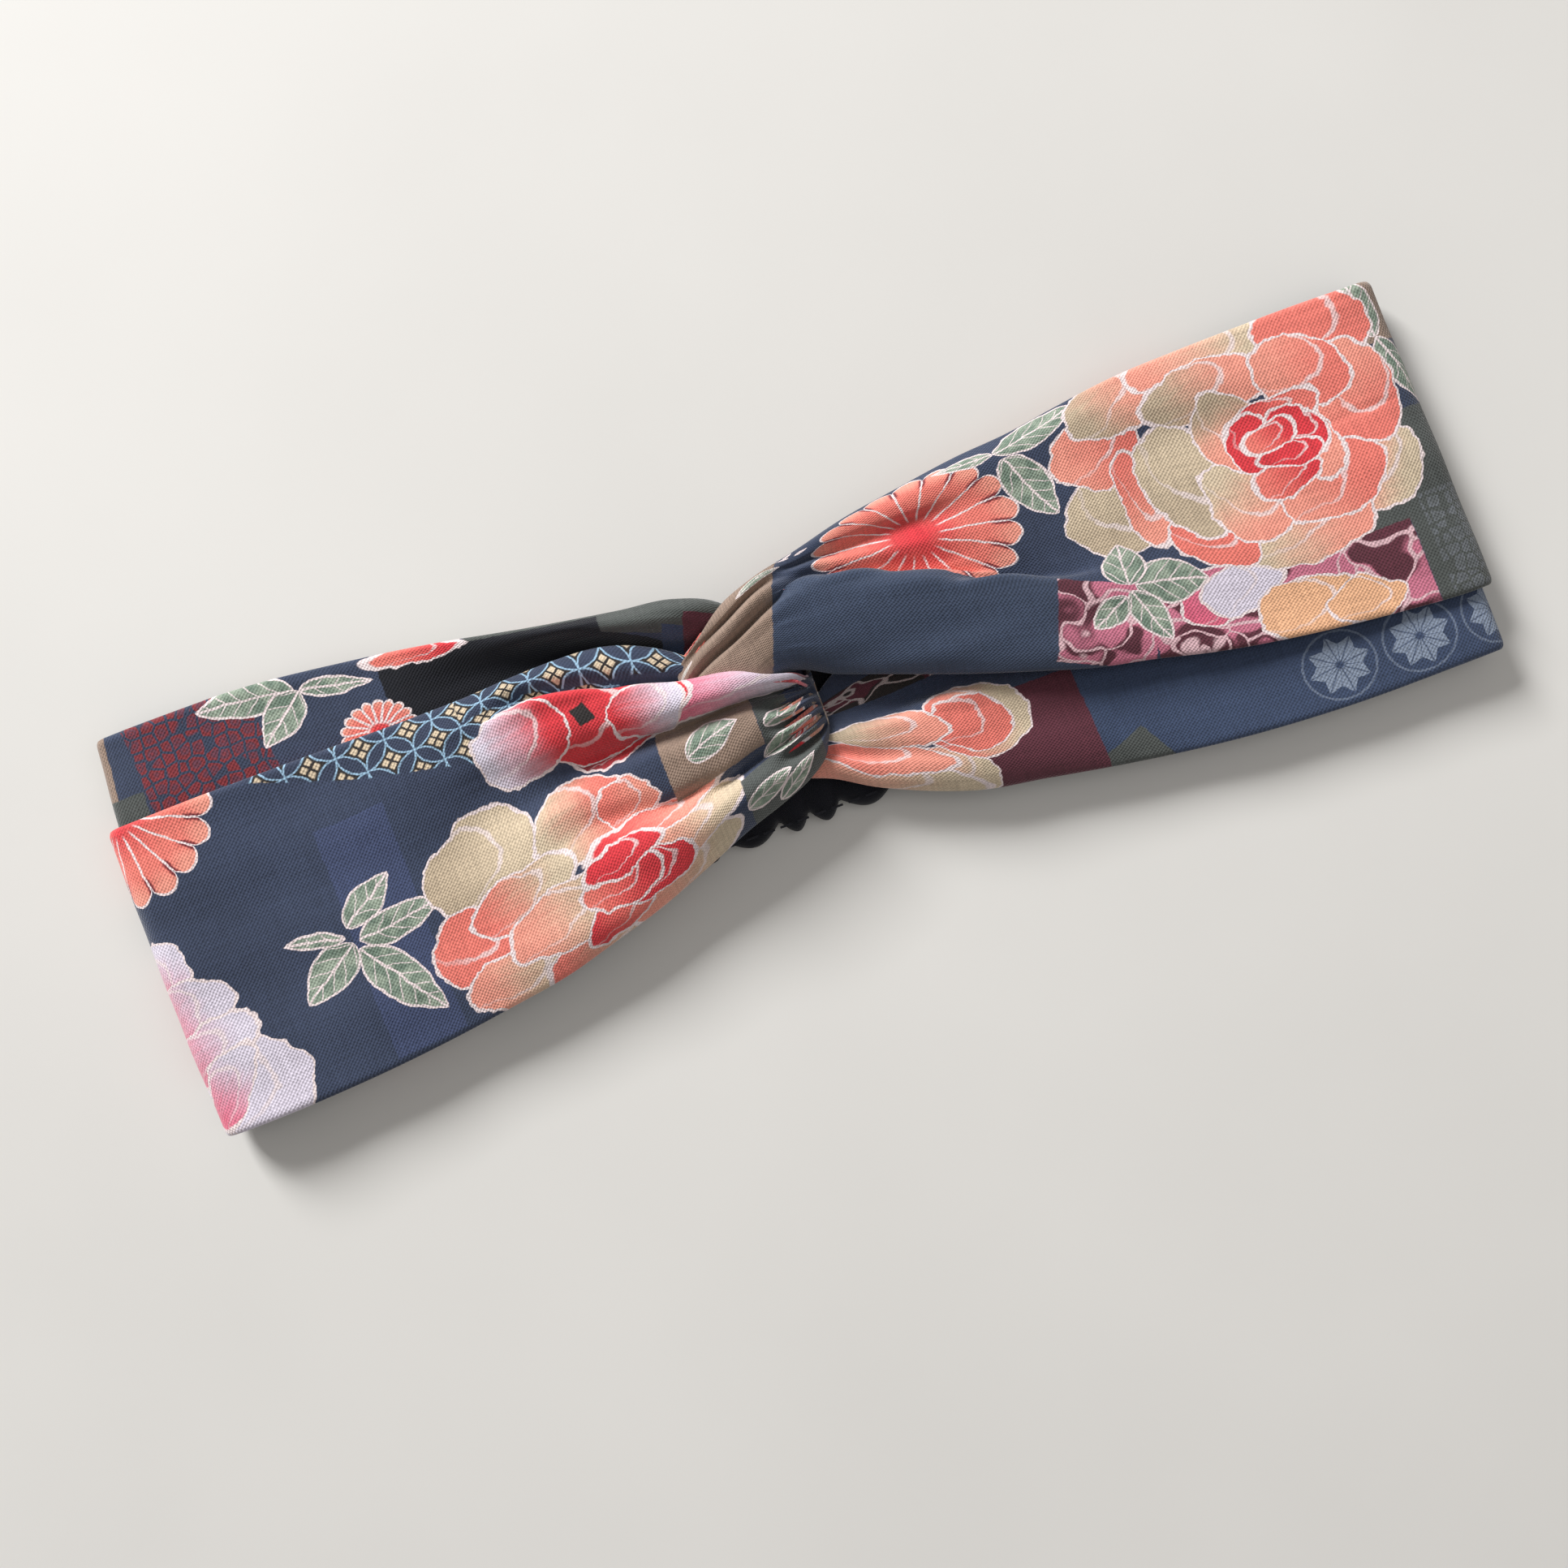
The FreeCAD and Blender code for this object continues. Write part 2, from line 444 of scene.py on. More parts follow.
@dataclass
class Effect:
    """A shared shader effect, built as a node group the first time that it is used."""

    name: str
    inputs: dict[str, Kind]
    outputs: dict[str, Kind]
    make: Maker
    tree: Optional[bpy.types.NodeTree] = field(default=None)

    def group(self) -> bpy.types.NodeTree:
        """The effect's node group.

        Returns:
            The group, made once.
        """
        if self.tree is None:
            tree = bpy.data.node_groups.new(self.name, "ShaderNodeTree")
            for name, kind in self.inputs.items():
                tree.interface.new_socket(name, in_out="INPUT", socket_type=kind.value)
            for name, kind in self.outputs.items():
                tree.interface.new_socket(name, in_out="OUTPUT", socket_type=kind.value)
            graph = Graph(tree)
            start = graph.node("NodeGroupInput")
            end = graph.node("NodeGroupOutput")
            made = self.make(graph, {name: Num(graph, start.outputs[name]) for name in self.inputs})
            for name, value in made.items():
                graph.plug(end.inputs[name], value)
            self.tree = tree
        return self.tree


LAID = {"Position": Kind.VECTOR}
PLACED = {**LAID, "Centre": Kind.VECTOR, "Angle": Kind.NUMBER, "Length": Kind.NUMBER,
          "Width": Kind.NUMBER}
FILLED = {"Color": Kind.COLOUR}
MASKED = {"Mask": Kind.NUMBER}
PAINTED = {**FILLED, **MASKED}
LINE_HALF_WIDTH = 0.17
EDGE_WANDER = 4.0
RING_PITCH = 6.4
RING_TURN = 45.0


def make_leaf(g: Graph, given: dict[str, Num]) -> dict[str, Num]:
    """A pointed leaf with an outline, a midrib and side veins, from its root along its length.

    Args:
        g: the group's graph.
        given: the group's inputs, by name.

    Returns:
        The group's outputs, by name.
    """
    wavy = g.warp(given["Position"], 0.22, 1.3)
    along, across = g.local(wavy, given["Centre"], given["Angle"])
    side = g.math("ABSOLUTE", across)
    part = g.math("MINIMUM", g.math("MAXIMUM", along / given["Length"], 0.0), 1.0)
    swell = g.math("SINE", g.math("POWER", part, 0.8) * math.pi)
    reach = g.math("POWER", g.math("MAXIMUM", swell, 0.0), 0.75) * given["Width"] * 0.5
    inside = reach - side
    mask = g.step(inside, 0.0, 0.15)
    rib = g.line(across, 0.12)
    vein_phase = g.math("PINGPONG", along - side * 1.1, 1.5)
    veins = g.both(g.line(vein_phase, 0.08), g.step(inside, 0.5, 0.9)) * 0.8
    edge = g.line(inside - 0.25, LINE_HALF_WIDTH)
    lines = g.math("MAXIMUM", g.math("MAXIMUM", rib, veins), edge)
    tone = g.step(g.noise(given["Position"], 0.35) + part * 0.12, 0.38, 0.72)
    fill = g.mix(tone, SAGE, SAGE_LIGHT)
    return {"Color": g.mix(lines, fill, OUTLINE), "Mask": mask}


def make_petal(g: Graph, given: dict[str, Num]) -> dict[str, Num]:
    """One broad petal: a rounded blob with a wavy edge, shaded along its length, and an outline.

    Args:
        g: the group's graph.
        given: the group's inputs, by name.

    Returns:
        The group's outputs, by name.
    """
    wavy = g.warp(g.warp(given["Position"], 0.12, 4.6), 0.55, 1.3)
    along, across = g.local(wavy, given["Centre"], given["Angle"])
    a = along / given["Length"] * 2.0
    b = across / given["Width"] * 2.0
    radius = g.length(a, b)
    inside = (1.0 - radius) * g.math("MINIMUM", given["Length"], given["Width"]) * 0.5
    streak = g.noise(g.join(b * 6.0, a * 0.8), 1.0) * 0.5
    blend = g.step(a + streak, -0.55, 0.95)
    fill = g.mix(blend, given["Base"], given["Tip"])
    bent = g.math("SQRT", (a + 0.55) * (a + 0.55) + (b - 0.25) * (b - 0.25) * 1.7)
    crease = g.both(g.line((bent - 0.95) * 4.0, 0.1), g.step(b, -0.7, -0.2)) * 0.7
    edge = g.line(inside - 0.25, LINE_HALF_WIDTH)
    lines = g.math("MAXIMUM", edge, crease)
    return {"Color": g.mix(lines, fill, OUTLINE), "Mask": g.step(inside, 0.0, 0.15)}


BLOOM_RINGS = ((6, 1.0, 0.3), (6, 0.78, 0.75), (5, 0.56, 0.2), (4, 0.36, 0.6), (3, 0.18, 0.1))


def make_bloom(g: Graph, given: dict[str, Num]) -> dict[str, Num]:
    """A full flower of rings of petals, one ring over the other, redder towards the heart.

    Args:
        g: the group's graph.
        given: the group's inputs, by name.

    Returns:
        The group's outputs, by name.
    """
    wavy = g.warp(g.warp(given["Position"], 0.08, 6.5), 0.42, 1.5)
    along, across = g.local(wavy, given["Centre"], given["Angle"])
    x = along / given["Length"] * 2.0
    y = across / given["Width"] * 2.0
    radius = g.length(x, y)
    angle = g.math("ARCTAN2", y, x)
    size = g.math("MINIMUM", given["Length"], given["Width"]) * 0.5
    mottle = g.noise(given["Position"], 0.3) - 0.5
    colour: object = given["Rim"]
    mask: Optional[Num] = None
    for index, (petals, reach, phase) in enumerate(BLOOM_RINGS):
        turn = angle * (petals / (2.0 * math.pi)) + (phase + 8.0) + radius * 0.35
        part = g.math("FRACT", turn)
        chance = g.chance(g.math("FLOORED_MODULO", g.math("FLOOR", turn), float(petals)) + index * 17.3)
        lobe = g.math("SQRT", g.both(part, 1.0 - part))
        edge = (lobe * 0.5 + 0.76 + (chance - 0.5) * 0.16) * reach
        inside = (edge - radius) * size
        heart = min(max(index - 1, 0) / 2.5, 1.0)
        near = g.mix(heart, given["Petal"], given["Heart"])
        far = g.mix(heart, given["Rim"], given["Petal"])
        tint = g.step(radius / reach + (chance - 0.5) * 1.1 + mottle * 0.5, 0.45, 1.05)
        ring = g.mix(tint, near, far)
        lined = g.mix(g.line(inside - 0.2, LINE_HALF_WIDTH), ring, OUTLINE)
        cover = g.step(inside, -0.05, 0.12)
        if mask is None:
            mask = cover
            colour = lined
        else:
            colour = g.mix(cover, colour, lined)
    return {"Color": colour, "Mask": mask}


def make_daisy(g: Graph, given: dict[str, Num]) -> dict[str, Num]:
    """A many-petalled chrysanthemum: narrow rays with pale lines between them and a deep red eye.

    Args:
        g: the group's graph.
        given: the group's inputs, by name.

    Returns:
        The group's outputs, by name.
    """
    wavy = g.warp(given["Position"], 0.2, 1.0)
    along, across = g.local(wavy, given["Centre"], given["Angle"])
    x = along / given["Length"] * 2.0
    y = across / given["Width"] * 2.0
    radius = g.length(x, y)
    angle = g.math("ARCTAN2", y, x)
    size = g.math("MINIMUM", given["Length"], given["Width"]) * 0.5
    ray = g.math("COSINE", angle * 9.0)
    bulge = g.math("POWER", g.math("ABSOLUTE", ray), 0.45)
    edge = bulge * 0.17 + 0.83
    inside = (edge - radius) * size
    gap = g.math("ABSOLUTE", ray) * radius * size * 0.115
    rays = g.both(1.0 - g.step(gap, 0.11, 0.27), g.step(radius, 0.2, 0.3))
    shade = g.step(radius + g.noise(given["Position"], 0.3) * 0.3, 0.18, 0.78)
    fill = g.mix(shade, RED, CORAL)
    fill = g.mix(g.step(radius + bulge * 0.2, 0.85, 1.12), fill, PINK_CORAL)
    notch = g.both(1.0 - g.step(g.math("ABSOLUTE", ray), 0.25, 0.5), g.step(radius, 0.68, 0.76))
    fill = g.mix(notch, fill, DARK_RED)
    lines = g.math("MAXIMUM", rays, g.line(inside - 0.25, LINE_HALF_WIDTH))
    return {"Color": g.mix(lines, fill, OUTLINE), "Mask": g.step(inside, 0.0, 0.15)}


def make_rings(g: Graph, given: dict[str, Num]) -> dict[str, Num]:
    """Overlapping circles on a square grid: blue lens shapes, with pale cross marks between them.

    Args:
        g: the group's graph.
        given: the group's inputs, by name.

    Returns:
        The group's outputs, by name.
    """
    pitch = given["Pitch"]
    along, across = g.local(given["Position"], given["Centre"], given["Angle"])
    x = g.math("FLOORED_MODULO", along, pitch) - pitch * 0.5
    y = g.math("FLOORED_MODULO", across, pitch) - pitch * 0.5
    ax = g.math("ABSOLUTE", x)
    ay = g.math("ABSOLUTE", y)
    half = pitch * 0.5
    reach = pitch * 0.7071
    near = g.length(ax - half, ay - half)
    beside = g.length(ax - half, ay + half)
    above = g.length(ax + half, ay - half)
    lens = g.math("MAXIMUM", g.step(reach - beside, 0.0, 0.1), g.step(reach - above, 0.0, 0.1))
    rings = g.math("MAXIMUM", g.line(reach - beside, 0.07), g.line(reach - above, 0.07))
    rings = g.math("MAXIMUM", rings, g.line(reach - near, 0.07))
    corner = g.math("MAXIMUM", half - ax, half - ay)
    cross = g.math("MINIMUM", half - ax, half - ay)
    marks = g.both(1.0 - g.step(corner, pitch * 0.19, pitch * 0.23), g.step(cross, 0.14, 0.3), 1.0 - lens)
    ground = g.mix(lens, DARK_BROWN, NAVY)
    return {"Color": g.mix(rings, g.mix(marks, ground, CREAM), SKY)}


def make_star(g: Graph, given: dict[str, Num]) -> dict[str, Num]:
    """An eight-pointed hemp-leaf star inside a faint ring.

    Args:
        g: the group's graph.
        given: the group's inputs, by name.

    Returns:
        The group's outputs, by name.
    """
    along, across = g.local(given["Position"], given["Centre"], given["Angle"])
    radius = g.length(along, across)
    turned = g.math("PINGPONG", g.math("ARCTAN2", across, along) + 4.0 * math.pi, math.pi / 8.0)
    reach = given["Length"] * 0.5
    out = radius * g.math("COSINE", turned)
    off = radius * g.math("SINE", turned)
    blade = g.math("MINIMUM", out * 0.42, (reach - out) * 0.75) - off
    body = g.both(g.step(blade, 0.0, 0.12), 1.0 - g.line(off, 0.04) * 0.75, g.step(radius, 0.5, 0.9))
    ring = g.line(radius - reach * 1.12, 0.1) * 0.3
    return {"Mask": g.math("MAXIMUM", body * 0.6, ring)}


def make_block(g: Graph, given: dict[str, Num]) -> dict[str, Num]:
    """A block of plain colour with slightly uneven edges.

    Args:
        g: the group's graph.
        given: the group's inputs, by name.

    Returns:
        The group's outputs, by name.
    """
    wavy = g.warp(given["Position"], 0.5, 0.5)
    along, across = g.local(wavy, given["Centre"], given["Angle"])
    in_x = given["Length"] * 0.5 - g.math("ABSOLUTE", along)
    in_y = given["Width"] * 0.5 - g.math("ABSOLUTE", across)
    return {"Mask": g.step(g.math("MINIMUM", in_x, in_y), -0.1, 0.2)}


def make_crackle(g: Graph, given: dict[str, Num]) -> dict[str, Num]:
    """Small uneven squares in one colour, with dark cracks and eyes between them.

    Args:
        g: the group's graph.
        given: the group's inputs, by name.

    Returns:
        The group's outputs, by name.
    """
    def cells(feature: str) -> Num:
        """A Voronoi distance over cells about 2.4 mm wide.

        Args:
            feature: the Voronoi node's feature.

        Returns:
            The distance.
        """
        node = g.node("ShaderNodeTexVoronoi")
        node.feature = feature
        g.plug(node.inputs["Vector"], given["Position"])
        node.inputs["Scale"].default_value = 0.42
        node.inputs["Randomness"].default_value = 0.55
        return Num(g, node.outputs["Distance"])

    crack = 1.0 - g.step(cells("DISTANCE_TO_EDGE"), 0.06, 0.13)
    eye = g.step(cells("F1"), 0.0, 0.16)
    ring = g.line(cells("F1") - 0.27, 0.02)
    lines = g.math("MAXIMUM", crack, g.math("MAXIMUM", 1.0 - eye, ring * 0.5))
    return {"Color": g.mix(lines, given["Fill"], given["Crack"])}


def make_scroll(g: Graph, given: dict[str, Num]) -> dict[str, Num]:
    """A ground with broad flowing petals of a second colour and fine pale lines.

    Args:
        g: the group's graph.
        given: the group's inputs, by name.

    Returns:
        The group's outputs, by name.
    """
    wavy = g.warp(given["Position"], 0.12, 16.0)
    node = g.node("ShaderNodeTexVoronoi")
    node.feature = "DISTANCE_TO_EDGE"
    g.plug(node.inputs["Vector"], wavy)
    node.inputs["Scale"].default_value = 0.12
    gap = Num(g, node.outputs["Distance"])
    tone = g.step(g.noise(wavy, 0.09, 1.0), 0.47, 0.53)
    fill = g.mix(tone, given["Fill"], given["Second"])
    line = 1.0 - g.step(gap, 0.025, 0.06)
    return {"Color": g.mix(line, fill, g.mix(0.45, OUTLINE, given["Second"]))}


def make_weave(g: Graph, given: dict[str, Num]) -> dict[str, Num]:
    """A plain weave of slightly uneven yarns: how light it is, and how high. The lightness follows the
    height: painted shade and highlight on the yarns, with uneven yarn tone.

    Args:
        g: the group's graph.
        given: the group's inputs, by name.

    Returns:
        The group's outputs, by name.
    """
    uneven = g.warp(given["Position"], 0.45, 0.35)
    x, y = g.split(uneven)
    rate = g.math("DIVIDE", math.pi, given["Pitch"])
    checker = g.math("SINE", x * rate) * g.math("SINE", y * rate)
    warp_noise = g.noise(g.join(x * 2.6, y * 0.16), 1.0)
    weft_noise = g.noise(g.join(x * 0.16, y * 2.6), 1.0)
    slub = warp_noise + weft_noise - 1.0
    height = checker * 0.5 + 0.5 + slub * 0.6
    # Painted shade and highlight: higher yarn is lighter and lower yarn darker; the slub part is also
    # uneven yarn tone.
    light = 1.0 + checker * 0.1 + slub * 0.55
    return {"Light": light, "Height": height}


LEAF = Effect("printed_leaf", PLACED, PAINTED, make_leaf)
PETAL = Effect("printed_petal", {**PLACED, "Base": Kind.COLOUR, "Tip": Kind.COLOUR}, PAINTED, make_petal)
BLOOM = Effect("printed_bloom", {**PLACED, "Heart": Kind.COLOUR, "Petal": Kind.COLOUR, "Rim": Kind.COLOUR},
               PAINTED, make_bloom)
DAISY = Effect("printed_daisy", PLACED, PAINTED, make_daisy)
STAR = Effect("hemp_leaf_star", PLACED, MASKED, make_star)
BLOCK = Effect("colour_block", PLACED, MASKED, make_block)
RINGS = Effect("interlocked_rings", {**LAID, "Centre": Kind.VECTOR, "Angle": Kind.NUMBER,
                                     "Pitch": Kind.NUMBER}, FILLED, make_rings)
CRACKLE = Effect("crackle", {**LAID, "Fill": Kind.COLOUR, "Crack": Kind.COLOUR}, FILLED, make_crackle)
SCROLL = Effect("scroll", {**LAID, "Fill": Kind.COLOUR, "Second": Kind.COLOUR}, FILLED, make_scroll)
WEAVE = Effect("plain_weave", {**LAID, "Pitch": Kind.NUMBER},
               {"Light": Kind.NUMBER, "Height": Kind.NUMBER}, make_weave)


# ---------------------------------------------------------------- the print, and painted shade

@dataclass(frozen=True)
class Motif:
    """Something printed on the cloth, placed in millimetres on the flat cloth."""

    at: Pair
    angle: float
    size: Pair
    effect: ClassVar[Effect]

    def placed(self, position: Num) -> dict[str, object]:
        """The values that every placed group takes."""
        return {"Position": position, "Centre": (*self.at, 0.0), "Angle": math.radians(self.angle),
                "Length": self.size[0], "Width": self.size[1]}

    def reach(self) -> float:
        """The furthest that the motif, with its wavy edge, can lie from its place."""
        return math.hypot(*self.size) / 2.0 + EDGE_WANDER

    def colours(self) -> dict[str, Colour]:
        """The colours that the motif's group takes."""
        return {}

    def paint(self, g: Graph, position: Num, below: object) -> Num:
        """The colour below with this motif over it."""
        out = g.call(self.effect.group(), **self.placed(position), **self.colours())
        return g.mix(out["Mask"], below, out["Color"])


@dataclass(frozen=True)
class Leaf(Motif):
    """A sage leaf; at is its root."""

    effect: ClassVar[Effect] = LEAF

    def reach(self) -> float:
        """The furthest that the leaf, which grows from its place, can lie from it."""
        return self.size[0] + EDGE_WANDER


@dataclass(frozen=True)
class Petal(Motif):
    """A broad petal that shades from base to tip."""

    base: Colour = CORAL
    tip: Colour = CREAM
    effect: ClassVar[Effect] = PETAL

    def colours(self) -> dict[str, Colour]:
        """The petal's two colours."""
        return {"Base": self.base, "Tip": self.tip}


@dataclass(frozen=True)
class Bloom(Motif):
    """A peony with ringed petals."""

    heart: Colour = RED
    petal: Colour = CORAL
    rim: Colour = CREAM
    effect: ClassVar[Effect] = BLOOM

    def colours(self) -> dict[str, Colour]:
        """The peony's three colours."""
        return {"Heart": self.heart, "Petal": self.petal, "Rim": self.rim}


@dataclass(frozen=True)
class Daisy(Motif):
    """A chrysanthemum."""

    effect: ClassVar[Effect] = DAISY


@dataclass(frozen=True)
class Star(Motif):
    """A hemp-leaf star."""

    def paint(self, g: Graph, position: Num, below: object) -> Num:
        """The colour below with the star over it."""
        return g.mix(g.call(STAR.group(), **self.placed(position))["Mask"], below, PALE_BLUE)


class Fill(Enum):
    """What fills a block of the print."""

    PLAIN = "plain"
    RINGS = "rings"
    CRACKLE = "crackle"
    SCROLL = "scroll"


@dataclass(frozen=True)
class Block(Motif):
    """A block of colour or of a small repeating pattern."""

    colour: Colour = TAUPE
    second: Colour = NAVY
    fill: Fill = Fill.PLAIN

    def inside(self, g: Graph, position: Num) -> object:
        """The colour or pattern that fills the block.

        Args:
            g: the material's graph.
            position: the place on the cloth.

        Returns:
            A colour, or the pattern's output.
        """
        if self.fill is Fill.PLAIN:
            return self.colour
        if self.fill is Fill.RINGS:
            made = g.call(RINGS.group(), Position=position, Centre=(*self.at, 0.0),
                          Angle=math.radians(RING_TURN), Pitch=RING_PITCH)
        elif self.fill is Fill.CRACKLE:
            made = g.call(CRACKLE.group(), Position=position, Fill=self.colour, Crack=self.second)
        else:
            made = g.call(SCROLL.group(), Position=position, Fill=self.colour, Second=self.second)
        return made["Color"]

    def paint(self, g: Graph, position: Num, below: object) -> Num:
        """The colour below with the block over it."""
        mask = g.call(BLOCK.group(), **self.placed(position))["Mask"]
        return g.mix(mask, below, self.inside(g, position))


@dataclass(frozen=True)
class PrintedCotton:
    """A plain-weave cotton with a print: its ground colour and its motifs, the lowest first."""

    name: str
    ground: Colour
    motifs: tuple[Motif, ...] = ()
    pitch: float = 0.38
    yarn_height: float = 0.12
    yarn_relief: float = 0.85
    sheen: float = 0.25

    def material(self) -> bpy.types.Material:
        """The cloth's material, whose print lies on the mesh's cloth coordinates.

        Returns:
            The new material.
        """
        made, g, shader = start_material(self.name)
        uv = g.node("ShaderNodeUVMap")
        uv.uv_map = CLOTH_COORDINATES
        position = g.in_millimetres(uv.outputs[0])
        edges = g.warp(position, 1.1, 0.35)
        tone = g.step(g.noise(position, 0.05, 3.0), 0.3, 0.7)
        colour: object = g.mix(tone, self.ground, scaled(self.ground, 1.22))
        for motif in self.motifs:
            colour = motif.paint(g, edges, colour)
        weave = g.call(WEAVE.group(), Position=position, Pitch=self.pitch)
        faded = g.noise(position, 0.7, 4.0) * 0.16 + 0.92
        # The weave's lightness, multiplied in here, holds painted shade and highlight on the yarns.
        g.plug(shader.inputs["Base Color"], g.multiply_colour(colour, weave["Light"] * faded))
        g.plug(shader.inputs["Roughness"], g.noise(position, 0.9) * 0.16 + 0.78)
        g.bump(shader, weave["Height"], self.yarn_height, self.yarn_relief)
        shader.inputs["Sheen Weight"].default_value = self.sheen
        shader.inputs["Sheen Roughness"].default_value = 0.5
        shader.inputs["Specular IOR Level"].default_value = 0.25
        return made


LEFT_TOP_PRINT = (
    Block((-81, -14), 0, (13, 44), colour=DUSK_BLUE),
    Block((-66, 18.6), -20, (74, 17), fill=Fill.RINGS),
    Block((-34, 22), 0, (46, 14), fill=Fill.RINGS),
    Daisy((-118, 23), 8, (35, 34)),
    Petal((-121, -33), -20, (18, 16), WHITE_PINK, WHITE_PINK),
    Petal((-111, -31), 8, (19, 19), WHITE_PINK, WHITE_PINK),
    Petal((-121, -7), 60, (14, 14), PINK, WHITE_PINK),
    Petal((-118, -15), 25, (18, 13), PINK, WHITE_PINK),
    Petal((-117, -22), 20, (22, 11), PINK, WHITE_PINK),
    Petal((-116, -29), 50, (20, 9), PINK, WHITE_PINK),
    Leaf((-88.5, -11.5), 165, (10.5, 3.4)),
    Leaf((-87.5, -13), 215, (13, 8)),
    Leaf((-88, -10), 33, (12, 6.5)),
    Leaf((-86.5, -13), 2, (16, 7)),
    Leaf((-87, -14.5), -58, (20, 8)),
    Petal((-62, -10), 20, (22, 18), SAND, CREAM),
    Petal((-43, -11.5), 10, (21, 15), CREAM, CORAL),
    Petal((-34, -13), 0, (11, 12), CORAL, PINK_CORAL),
    Petal((-68, -23), -35, (17, 15), CORAL, CORAL),
    Petal((-62, -33), -10, (22, 13), PINK_CORAL, CREAM),
    Petal((-46, -35), 5, (26, 13), CORAL, CREAM),
    Petal((-29, -33), 8, (26, 13), PINK_CORAL, CREAM),
    Petal((-57, -19), 10, (22, 11), CORAL, CREAM),
    Petal((-51, -26), 5, (24, 12), PINK_CORAL, CREAM),
    Petal((-25, -25), 6, (24, 10), PINK_CORAL, CREAM),
    Petal((-31, -19), 2, (30, 6.5), RED, PINK_CORAL),
    Petal((-42, -31), 12, (16, 8), RED, CORAL),
    Petal((-33, -28), -6, (16, 9), RED, RED),
    Petal((-40, -26), -4, (17, 8), CORAL, RED),
    Petal((-38, -22), 4, (18, 7), RED, RED),
    Block((-17, -11), 0, (18, 14), colour=TAUPE),
    Leaf((-22, -11), 8, (11, 8)),
    Block((-14, -2), 4, (24, 5), colour=TAUPE),
    Block((-5, -12), 0, (6, 20), colour=MOSS_GREY),
    Block((-6, -32), 0, (17, 18), colour=MOSS_GREY),
    Leaf((-15, -31), 12, (10, 6)),
    Leaf((-9, -35), 30, (10, 5)),
    Leaf((-9, -22), 20, (12, 7)),
    Leaf((-7, -14), 35, (10, 5)),
    Petal((-33, -1.5), 0, (18, 6), DARK_RED, RED),
    Petal((-10, 3.5), -3, (30, 15), PINK, WHITE_PINK),
    Petal((-35, 5.5), -3, (38, 16), RED, RED),
    Petal((-25, 4), -3, (15, 13), RED, WHITE_PINK),
    Petal((-48, 5.5), 8, (19, 15), WHITE_PINK, RED),
    Block((-36, 7), 20, (3.2, 3.6), colour=DARK_BROWN),
)
LEFT_UNDER_PRINT_AND_SHADE = (
    Block((-28, 33), -8, (48, 12), colour=MOSS_GREY),
    # Painted shade: two near-black blocks fill the hollow where the under leg dips beside the top leg.
    Block((-48, 28), 0, (40, 15), colour=DEEP_NAVY),
    Block((-27, 22), -25, (26, 10), colour=DEEP_NAVY),
    Block((-121, 31), 0, (8, 13), colour=TAUPE),
    Block((-118, 22), 0, (12, 7), colour=MOSS_GREY),
    Block((-101, 28), 8, (22, 22), colour=DARK_RED, second=NAVY, fill=Fill.CRACKLE),
    Leaf((-82.5, 34), 176, (17.5, 7)),
    Leaf((-82, 34), 226, (12, 7)),
    Leaf((-82, 34), -7, (13, 4)),
    Daisy((-71, 22.5), 0, (14, 12)),
    Petal((-60, 35.5), -2, (20, 5), CORAL, RED),
    Block((-17, 22), -12, (4, 12), colour=BLUE_NAVY),
    Block((-11, 24), -12, (8, 14), colour=MAROON),
    Block((-16, 14), -12, (30, 7), colour=NAVY),
    Bloom((-98, -4), 0, (30, 26)),
    Leaf((-72, -2), 20, (18, 8)),
)
